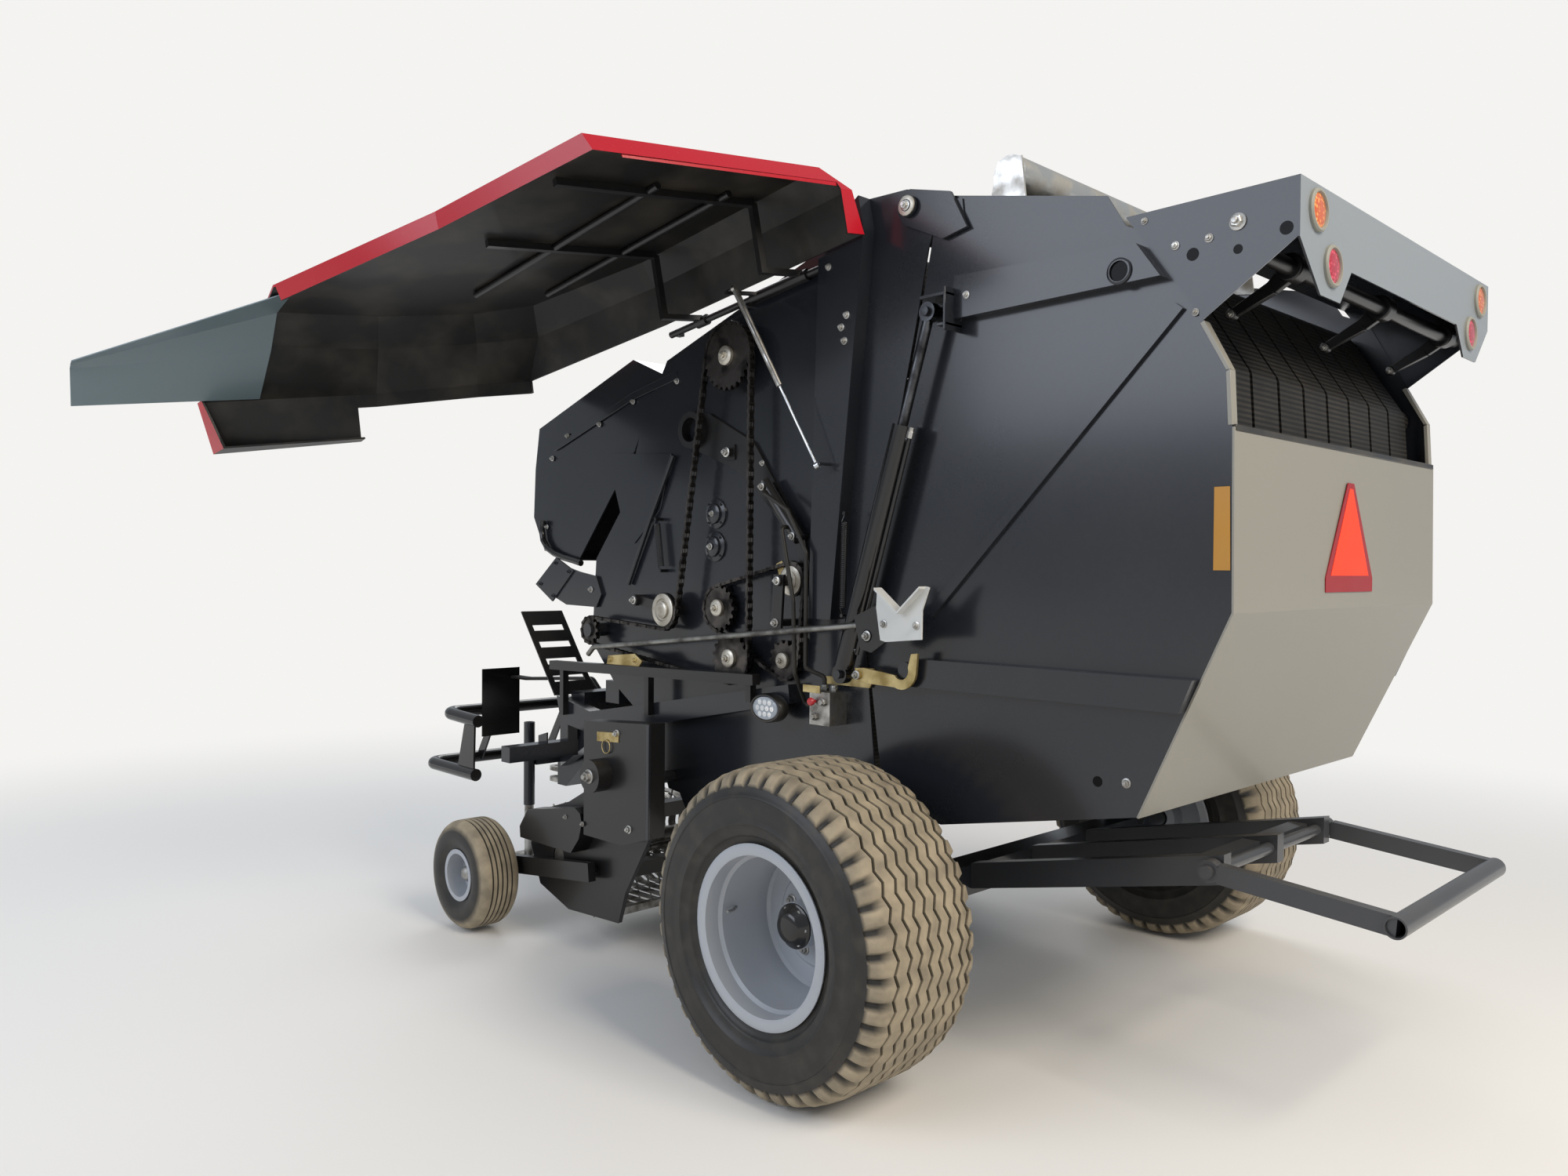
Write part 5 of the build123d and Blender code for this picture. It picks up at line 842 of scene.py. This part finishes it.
LENSES = {"amber": beaded_lens("amber_acrylic_lens", "c4561a", "ffb45c"),
          "red": beaded_lens("red_acrylic_lens", "a30d2a", "f0506a")}
pale_grommet = rubber("pale_rubber_grommet", "8f9088", 0.3, 0.55)
draft = bmesh.new()
for colour, across, height in LAMP_PLACES:
    lens_draft = bmesh.new()
    for side, hand in SIDES:
        centre = spot(LAMP_BEHIND, hand * across, height)
        turned(draft, centre, REARWARD, GROMMET_PROFILE, 48, closed=True)
        turned(lens_draft, centre, REARWARD, LENS_PROFILE, 48)
    finish_piece(lens_draft, colour + "_lenses", LENSES[colour], "tailgate", smooth=60)
lamp_grommets = finish_piece(draft, "lamp_grommets", pale_grommet, "tailgate")
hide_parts("rear_lamps")


# Slow vehicle emblem
# Two sheets are stuck on a plate on the rear panel: red beads that throw light back round the edge, and
# in the middle fluorescent orange, which looks brighter than paint.
EMBLEM_BEHIND, EMBLEM_SHEET = 1.2298, 0.001
# Columns: distance to the right of the middle, height
EMBLEM_MIDDLE = ((-0.162, 1.672), (0.162, 1.672), (0.013, 1.952), (-0.013, 1.952))
red_reflective_sheet = moulded_plastic("red_reflective_sheet", "94101c", 0.5, 0.02)
orange_fluorescent_sheet = moulded_plastic("orange_fluorescent_sheet", "ff3d08", 0.55, 0.02)
dress(red_reflective_sheet, "emblem")
draft = bmesh.new()
slab(draft, [spot(EMBLEM_BEHIND, across, height) for across, height in EMBLEM_MIDDLE], (EMBLEM_SHEET, 0, 0))
finish_piece(draft, "emblem_centre", orange_fluorescent_sheet, "tailgate")


# Side reflectors
# A strip of amber plastic is stuck near the rear edge of each tailgate side. The light comes back from
# behind its smooth face, so it looks soft and even.
TAILGATE_FACE = 0.8372
# Corners here and below: distance behind the axle, height
REFLECTOR_CORNERS = ((1.168, 1.686), (1.216, 1.686), (1.212, 1.916), (1.168, 1.916))


def side_sheet(draft, corners, out, thickness, hand=-1):
    """A flat sheet seen from the side, from a width off the middle outward; a minus leads inward."""
    slab(draft, [spot(back, hand * out, height) for back, height in corners], (0, hand * thickness, 0))


amber_reflector = moulded_plastic("amber_reflective_strip", "b8801a", 0.35, 0.1)
draft = bmesh.new()
for side, hand in SIDES:
    side_sheet(draft, REFLECTOR_CORNERS, TAILGATE_FACE, 0.002, hand)
finish_piece(draft, "side_reflectors", amber_reflector, "tailgate", edge=0.0006)


# Belt guide arms
# Cast arms on a cross tube under the lamp hood keep the belts apart, all painted black; each ends in a
# steel ball joint with its bolt.
# Distance behind the axle, height
ARM_PIVOT, ARM_END = (1.285, 2.535), (1.112, 2.432)
ARMS_ACROSS = (-0.62, 0.08, 0.70)
CROSS_TUBE_HALF, CROSS_TUBE_RADIUS = 0.829, 0.024
# Profiles: distance to the right of the arm's middle, radius
BOSS_PROFILE = ((-0.03, 0.036), (-0.026, 0.04), (0.026, 0.04), (0.03, 0.036))
BALL_PROFILE = ((-0.016, 0.012), (-0.012, 0.017), (0.012, 0.017), (0.016, 0.012))
ARM_HALF_WIDTH, ARM_JOINT_LAP = 0.011, 0.002
# The bend: share of the way to the end, metres below the straight line; then half heights along the arm
BEND_SHARE, BEND_DROP = 0.32, 0.012
PIVOT_REACH, BEND_REACH, END_REACH = 0.03, 0.02, 0.013
draft = bmesh.new()
turned(draft, spot(ARM_PIVOT[0], 0, ARM_PIVOT[1]), RIGHTWARD,
       ((-CROSS_TUBE_HALF, CROSS_TUBE_RADIUS), (CROSS_TUBE_HALF, CROSS_TUBE_RADIUS)), 20)
for across in ARMS_ACROSS:
    pivot, end = spot(ARM_PIVOT[0], across, ARM_PIVOT[1]), spot(ARM_END[0], across, ARM_END[1])
    bend = pivot.lerp(end, BEND_SHARE) + Vector((0, 0, -BEND_DROP))
    turned(draft, pivot, RIGHTWARD, BOSS_PROFILE, 24)
    for first, last, wide, narrow in ((pivot, bend, PIVOT_REACH, BEND_REACH),
                                      (bend, end, BEND_REACH, END_REACH)):
        ahead = (last - first).normalized()
        up = ahead.cross(RIGHTWARD)
        skin(draft, [[point + up * rise + RIGHTWARD * (hand * ARM_HALF_WIDTH) for rise, hand in
                      ((reach, -1), (reach, 1), (-reach, 1), (-reach, -1))]
                     for point, reach in ((first, wide), (last + ahead * ARM_JOINT_LAP, narrow))])
    turned(draft, end, RIGHTWARD, BALL_PROFILE, 20)
finish_piece(draft, "belt_guide_arms", black_powder_coat, "tailgate", edge=0.002)
draft = bmesh.new()
for across in ARMS_ACROSS:
    bolt(draft, spot(ARM_END[0], across + BALL_PROFILE[0][0], ARM_END[1]), LEFTWARD, 0.013)
finish_piece(draft, "arm_end_bolts", zinc_plated_steel, "tailgate")


# Guide sheets
# Flat sheets with the body's powder coat, screwed on the left chamber side: the guide in front of the
# chain, the strip along the net hood and a small plate behind the rear sprocket.
CHAMBER_FACE = 0.8372
GUIDE_SHEET = ((-1.638, 2.19), (-1.212, 2.165), (-1.284, 1.93), (-1.466, 1.788), (-1.523, 1.799),
               (-1.643, 2.116))
HOOD_STRIP = ((-2.110, 2.235), (-2.090, 2.262), (-1.486, 2.452), (-1.181, 2.510), (-1.181, 2.475),
              (-1.486, 2.418), (-2.060, 2.245))
LOW_PLATE = ((-0.50, 1.30), (-0.40, 1.30), (-0.40, 1.42), (-0.43, 1.44), (-0.50, 1.40))
draft = bmesh.new()
for corners, thickness in ((GUIDE_SHEET, 0.006), (HOOD_STRIP, 0.003), (LOW_PLATE, 0.008)):
    side_sheet(draft, corners, CHAMBER_FACE, thickness)
finish_piece(draft, "guide_sheets", charcoal_powder_coat, "chassis", edge=0.0015)


# Bearing flanges and cast bracket
# A cast bracket with its diamond shaped cover plate, two flanged shaft bearings and the guide's round bar,
# all bolted to the left chamber side and coated like it.
BRACKET_CORNERS = ((-2.10, 1.545), (-1.98, 1.505), (-1.74, 1.50), (-1.70, 1.56), (-1.74, 1.64),
                   (-1.88, 1.66), (-2.02, 1.69), (-2.09, 1.67))
BRACKET_THICKNESS, COVER_THICKNESS = 0.014, 0.008
COVER_CORNERS = ((-2.234, 1.598), (-2.057, 1.727), (-1.912, 1.665), (-2.089, 1.518))
COVER_BOLTS = ((-2.19, 1.60), (-2.06, 1.70), (-1.95, 1.66), (-2.08, 1.545))
FLANGE_PLACES = ((-0.921, 1.902), (-0.925, 1.769))
FLANGE_PROFILE = ((0, 0.062), (0.008, 0.06), (0.012, 0.042), (0.024, 0.04), (0.028, 0.03))
FLANGE_BOLTS, FLANGE_BOLT_CIRCLE, FLANGE_BOLT_SEAT = 4, 0.051, 0.008
# Points: distance behind the axle, width from the middle, height
SPRING_BAR = ((-1.186, 0.852, 2.155), (-1.34, 0.856, 1.883), (-1.495, 0.852, 1.609))
draft = bmesh.new()
side_sheet(draft, COVER_CORNERS, CHAMBER_FACE + BRACKET_THICKNESS, COVER_THICKNESS)
for back, height in COVER_BOLTS:
    bolt(draft, spot(back, -CHAMBER_FACE - BRACKET_THICKNESS - COVER_THICKNESS, height), LEFTWARD, 0.011)
side_sheet(draft, BRACKET_CORNERS, CHAMBER_FACE, BRACKET_THICKNESS)
for back, height in FLANGE_PLACES:
    seat = spot(back, -CHAMBER_FACE, height)
    turned(draft, seat, LEFTWARD, FLANGE_PROFILE, 36)
    for place in circle(seat + LEFTWARD * FLANGE_BOLT_SEAT, FLANGE_BOLT_CIRCLE, FLANGE_BOLTS, 0.5):
        bolt(draft, place, LEFTWARD, 0.008)
swept(draft, [spot(back, -out, height) for back, out, height in SPRING_BAR], 0.011, 10)
finish_piece(draft, "bearing_flanges", charcoal_powder_coat, "chassis")


# Coil springs
# Two return springs of wound steel wire under glossy black paint: a short one by the guide's bar and a
# long one by the rear post, each hooked over two pins.
COIL_STEPS = 10
# Share of the length that each hooked end takes
COIL_END = 0.08
# Columns: top and bottom as distance behind the axle and height, width of the spring from the middle,
# radius, wire radius, turns, width of the pins' seats from the middle, pin length
SPRINGS = (((-1.276, 1.888), (-1.242, 1.669), 0.868, 0.013, 0.0026, 26, CHAMBER_FACE, 0.040),
           ((-0.152, 1.879), (-0.160, 1.517), 0.905, 0.011, 0.0024, 44, 0.896, 0.018))
SPRING_PIN_RADIUS = 0.007


def coil(draft, start, end, radius, wire, turns):
    """A coil spring with hooked ends between two points."""
    run = end - start
    ahead = run.normalized()
    first = ahead.orthogonal().normalized()
    second = ahead.cross(first)
    steps = turns * COIL_STEPS
    points = [start]
    for step in range(steps + 1):
        angle = math.tau * turns * step / steps
        points.append(start + run * (COIL_END + (1 - 2 * COIL_END) * step / steps)
                      + first * (radius * math.cos(angle)) + second * (radius * math.sin(angle)))
    points.append(end)
    swept(draft, points, wire, 6)


draft = bmesh.new()
for high, low, out, radius, wire, turns, seat, length in SPRINGS:
    coil(draft, spot(high[0], -out, high[1]), spot(low[0], -out, low[1]), radius, wire, turns)
    for back, height in (high, low):
        turned(draft, spot(back, -seat, height), LEFTWARD,
               ((0, SPRING_PIN_RADIUS), (length, SPRING_PIN_RADIUS)), 12)
finish_piece(draft, "coil_springs", glossy_black_paint, "chassis", smooth=60)


# Links and latches
# A link under the tension arm, a clip by the valve block and the catch of the shield are pressed from
# sheet; their passivated zinc plate looks like pale brass.
# Columns: corners, width of the inner face from the middle, thickness
LINKS = ((((-0.552, 1.70), (-0.520, 1.712), (-0.500, 1.66), (-0.532, 1.648)), 0.852, 0.006),
         (((-0.330, 1.235), (-0.245, 1.235), (-0.245, 1.262), (-0.330, 1.262)), 0.928, 0.004),
         (((-1.50, 1.262), (-1.27, 1.266), (-1.25, 1.29), (-1.30, 1.318), (-1.49, 1.30)), 0.955, 0.008))
# Columns: distance behind the axle, height, width of the seat from the middle, size
LINK_BOLTS = ((-0.526, 1.696, 0.858, 0.009), (-0.518, 1.664, 0.858, 0.009),
              (-1.47, 1.284, 0.963, 0.012), (-1.30, 1.29, 0.963, 0.012))
draft = bmesh.new()
for corners, out, thickness in LINKS:
    side_sheet(draft, corners, out, thickness)
for back, height, out, size in LINK_BOLTS:
    bolt(draft, spot(back, -out, height), LEFTWARD, size)
finish_piece(draft, "gold_links", yellow_zinc, "chassis", edge=0.0012)


# Cylinder head brackets and gate pivots
# The cylinder's head pin is held in a box of welded plates on the tailgate, open to the front where the
# rod swings; a pale turned washer closes each gate pivot.
# Columns: corners, width
BRACKET_PLATES = ((((0.190, 2.574), (0.300, 2.574), (0.300, 2.584), (0.190, 2.584)), 0.088),
                  (((0.262, 2.476), (0.300, 2.476), (0.300, 2.486), (0.262, 2.486)), 0.088),
                  (((0.292, 2.46), (0.300, 2.46), (0.300, 2.60), (0.292, 2.60)), 0.092))
WASHER_PROFILE = ((0, 0.034), (0.004, 0.034), (0.006, 0.031), (0.006, 0.015))
draft = bmesh.new()
for side, hand in SIDES:
    for corners, width in BRACKET_PLATES:
        side_sheet(draft, corners, TAILGATE_FACE, width, hand)
finish_piece(draft, "cylinder_head_brackets", charcoal_powder_coat, "tailgate",
             edge=0.0015)
draft = bmesh.new()
for side, hand in SIDES:
    turned(draft, spot(0.090, hand * 0.8732, 2.915), (0, hand, 0), WASHER_PROFILE, 36)
finish_piece(draft, "gate_pivot_washers", pale_turned_steel, "chassis")


# Latch bar
# A long round bar of drawn steel lies in its catches on the left side rail and ends in a short hook.
# Hands and catches have worn it, so it is a pale satin metal.
LATCH_OUT, LATCH_RADIUS = 0.962, 0.0114
# How far from the corner the hook's bend begins
HOOK_BEND = 0.012
worn_bar_steel = worn_steel("worn_drawn_bar", "9a9994", "5e5c58", 0.4)
hook_end, hook_top = spot(-1.638, -LATCH_OUT, 1.298), spot(-1.600, -LATCH_OUT, 1.330)
bar_end = spot(0.019, -LATCH_OUT, 1.4949)
before, after = (hook_end - hook_top).normalized(), (bar_end - hook_top).normalized()
bend = [hook_top + before * (HOOK_BEND * (1 - share) ** 2) + after * (HOOK_BEND * share ** 2)
        for share in (0, 0.25, 0.5, 0.75, 1)]
draft = bmesh.new()
swept(draft, [hook_end] + bend + [bar_end], LATCH_RADIUS, 16)
finish_piece(draft, "latch_bar_finish", worn_bar_steel, "chassis", smooth=60)


# Rear edges of the tailgate
# The grey rear panel's sheet is folded round the edge of each side above it, and a black rubber trim is
# pushed over the panel's top edge under the belts.
FLANGE_FACE, FLANGE_WIDTH, FLANGE_SHEET = 0.838, 0.034, 0.012
# Distance behind the axle, height
FLANGE_LINE = ((1.132, 2.379), (1.208, 2.236), (1.216, 2.084))
TRIM_HALF = 0.829
TRIM_CORNERS = ((1.206, 2.068), (1.225, 2.068), (1.225, 2.086), (1.206, 2.086))
draft = bmesh.new()
for side, hand in SIDES:
    for (back, height), (next_back, next_height) in zip(FLANGE_LINE, FLANGE_LINE[1:]):
        corners = ((back, height), (next_back, next_height), (next_back - FLANGE_SHEET, next_height),
                   (back - FLANGE_SHEET, height - FLANGE_SHEET / 2))
        side_sheet(draft, corners, FLANGE_FACE, -FLANGE_WIDTH, hand)
finish_piece(draft, "side_flanges", warm_grey_powder_coat, "tailgate", edge=0.001)
draft = bmesh.new()
side_sheet(draft, TRIM_CORNERS, TRIM_HALF, -2 * TRIM_HALF)
finish_piece(draft, "panel_edge_trim", black_moulding, "tailgate", edge=0.003)


# Cylinder unions
# A zinc plated union is screwed on each tailgate cylinder and joins its feed pipe to the top end. It
# leans with the cylinder at rest.
UNION_AXIS = (0.2974, 0, 0.9548)
UNION_PROFILE = ((-0.006, 0.013), (0.016, 0.013), (0.018, 0.0105), (0.030, 0.01))
for side, hand in SIDES:
    draft = bmesh.new()
    turned(draft, spot(0.1388, hand * 0.905, 2.1282), UNION_AXIS, UNION_PROFILE, 6)
    finish_piece(draft, "cylinder_union_" + side, zinc_plated_steel, "barrel_" + side,
                 edge=0.0006)


# Tube under the hood
# A black painted steel tube is bent down from the hood's end to the chamber side, in front of the cast
# bracket, and stands on two short pegs.
HOOD_TUBE_OUT, HOOD_TUBE_RADIUS = 0.852, 0.0145
# Distance behind the axle, height
HOOD_TUBE_LINE = ((-2.185, 1.905), (-2.192, 1.86), (-2.18, 1.81), (-2.14, 1.77), (-2.08, 1.745),
                  (-2.00, 1.725), (-1.92, 1.712), (-1.86, 1.70))
HOOD_TUBE_PEGS = ((-2.185, 1.895), (-1.87, 1.702))
draft = bmesh.new()
swept(draft, [spot(back, -HOOD_TUBE_OUT, height) for back, height in HOOD_TUBE_LINE], HOOD_TUBE_RADIUS, 16)
for back, height in HOOD_TUBE_PEGS:
    turned(draft, spot(back, -CHAMBER_FACE, height), LEFTWARD, ((0, 0.010), (0.012, 0.010)), 12)
finish_piece(draft, "hood_tube", glossy_black_paint, "chassis", smooth=60)


# Work lamp
# An oval lamp with a case of black plastic hangs on a bent bracket. Its clear lens shows rows of diodes,
# each in a cup coated by metal vapour, which makes a small mirror of it.
WORK_LAMP_BACK, WORK_LAMP_OUT, WORK_LAMP_HEIGHT = -0.514, 0.9, 1.159
CASE_SIZE, LENS_SIZE = (0.085, 0.055), (0.067, 0.043)
# Profiles: distance outward from the lamp's place, share of the full size
CASE_PROFILE = ((0.0, 0.94), (0.006, 1.0), (0.040, 1.0), (0.049, 0.93), (0.050, 0.84), (0.046, 0.8))
CLEAR_PROFILE = ((0.0462, 1.0), (0.0485, 0.97), (0.0495, 0.7))
# Columns: distance above the lamp's middle, number of diodes
DIODE_ROWS = ((-0.022, 3), (0.0, 4), (0.022, 3))
DIODE_STEP, DIODE_SEAT = 0.026, 0.0485
DIODE_PROFILE = ((0, 0.0105), (0.002, 0.0105), (0.0026, 0.0085), (0.0014, 0.004))


def oval_rings(size, profile, sides):
    """Rings round the lamp's oval, one for each row of the profile."""
    angles = [math.tau * k / sides for k in range(sides)]
    return [[spot(WORK_LAMP_BACK + size[0] * share * math.cos(a), -WORK_LAMP_OUT - depth,
                  WORK_LAMP_HEIGHT + size[1] * share * math.sin(a)) for a in angles]
            for depth, share in profile]


clear_lens = moulded_plastic("clear_acrylic_lens", "a4abb2", 0.1, 0.02)
diode_reflector = worn_steel("vapour_coated_reflector", "f2f3f4", "d5d8db", 0.12, 0.01)
draft = bmesh.new()
skin(draft, oval_rings(CASE_SIZE, CASE_PROFILE, 40))
lamp_case = finish_piece(draft, "work_lamp_case", black_moulding, "chassis", smooth=50)
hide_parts("work_lamp")
draft = bmesh.new()
skin(draft, oval_rings(LENS_SIZE, CLEAR_PROFILE, 32))
finish_piece(draft, "work_lamp_lens", clear_lens, "chassis", smooth=50)
draft = bmesh.new()
for rise, count in DIODE_ROWS:
    for k in range(count):
        turned(draft, spot(WORK_LAMP_BACK + (k - (count - 1) / 2) * DIODE_STEP, -WORK_LAMP_OUT - DIODE_SEAT,
                           WORK_LAMP_HEIGHT + rise), LEFTWARD, DIODE_PROFILE, 12)
finish_piece(draft, "work_lamp_diodes", diode_reflector, "chassis")


# Valve block fittings
# Zinc plated unions and plugs are screwed into the block for its hoses, and a red moulded knob is pressed
# on its hand valve.
# Columns: distance behind the axle, width from the middle, height, way it points
UNIONS = ((-0.270, 0.880, 1.24, (0, 0, 1)), (-0.225, 0.880, 1.24, (0, 0, 1)),
          (-0.300, 0.880, 1.18, (-1, 0, 0)), (-0.270, 0.927, 1.15, LEFTWARD),
          (-0.228, 0.927, 1.205, LEFTWARD))
PLUG_PROFILE = ((0, 0.015), (0.012, 0.015), (0.013, 0.012), (0.022, 0.011))
KNOB_PROFILE = ((0, 0.006), (0.012, 0.006), (0.014, 0.013), (0.024, 0.015), (0.03, 0.012), (0.031, 0.005))
# Glossy moulded plastic keeps sharp highlights on the knob's rounds.
red_moulding = moulded_plastic("red_moulded_plastic", "c01426", 0.3, 0.12)
draft = bmesh.new()
for back, out, height, way in UNIONS:
    turned(draft, spot(back, -out, height), way, PLUG_PROFILE, 6)
finish_piece(draft, "valve_unions", zinc_plated_steel, "chassis", edge=0.0008)
draft = bmesh.new()
turned(draft, spot(-0.272, -0.927, 1.205), LEFTWARD, KNOB_PROFILE, 20)
finish_piece(draft, "valve_knob", red_moulding, "chassis")


# Drive cover and pickup fittings
# Plated nuts hold the pickup's drive cover, and a large bolt closes the end of the drum. A gold plate
# carries the cover's spring clip, and a folded flange stiffens its rear edge.
COVER_FACE = 1.1
# Columns: distance behind the axle, height, width of the seat from the middle, size
COVER_NUTS = ((-1.235, 1.000, COVER_FACE, 0.017), (-1.150, 0.62, COVER_FACE, 0.017),
              (-1.330, 0.820, 1.17, 0.03), (-1.600, 0.60, 1.105, 0.011), (-1.470, 0.59, 1.105, 0.011))
CLIP_PLATE = ((-1.37, 0.955), (-1.22, 0.965), (-1.22, 1.005), (-1.37, 0.995))
CLIP_OUT, CLIP_RADIUS, CLIP_WIRE = 1.108, 0.028, 0.0028
COVER_EDGE = ((-1.026, 1.06), (-1.008, 1.061), (-1.008, 0.6), (-1.026, 0.598))
draft = bmesh.new()
for back, height, out, size in COVER_NUTS:
    bolt(draft, spot(back, -out, height), LEFTWARD, size)
finish_piece(draft, "cover_nuts", zinc_plated_steel, "pickup")
draft = bmesh.new()
side_sheet(draft, CLIP_PLATE, COVER_FACE, 0.004)
swept(draft, circle(spot(-1.30, -CLIP_OUT, 0.94), CLIP_RADIUS, 16), CLIP_WIRE, 8, closed=True)
finish_piece(draft, "clip_plate", yellow_zinc, "pickup", edge=0.0008)
draft = bmesh.new()
side_sheet(draft, COVER_EDGE, COVER_FACE, 0.012)
finish_piece(draft, "cover_flange", charcoal_powder_coat, "pickup", edge=0.002)


size = {"cad": [list(corner) for corner in cad_box], "scene": [list(corner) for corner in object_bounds()]}
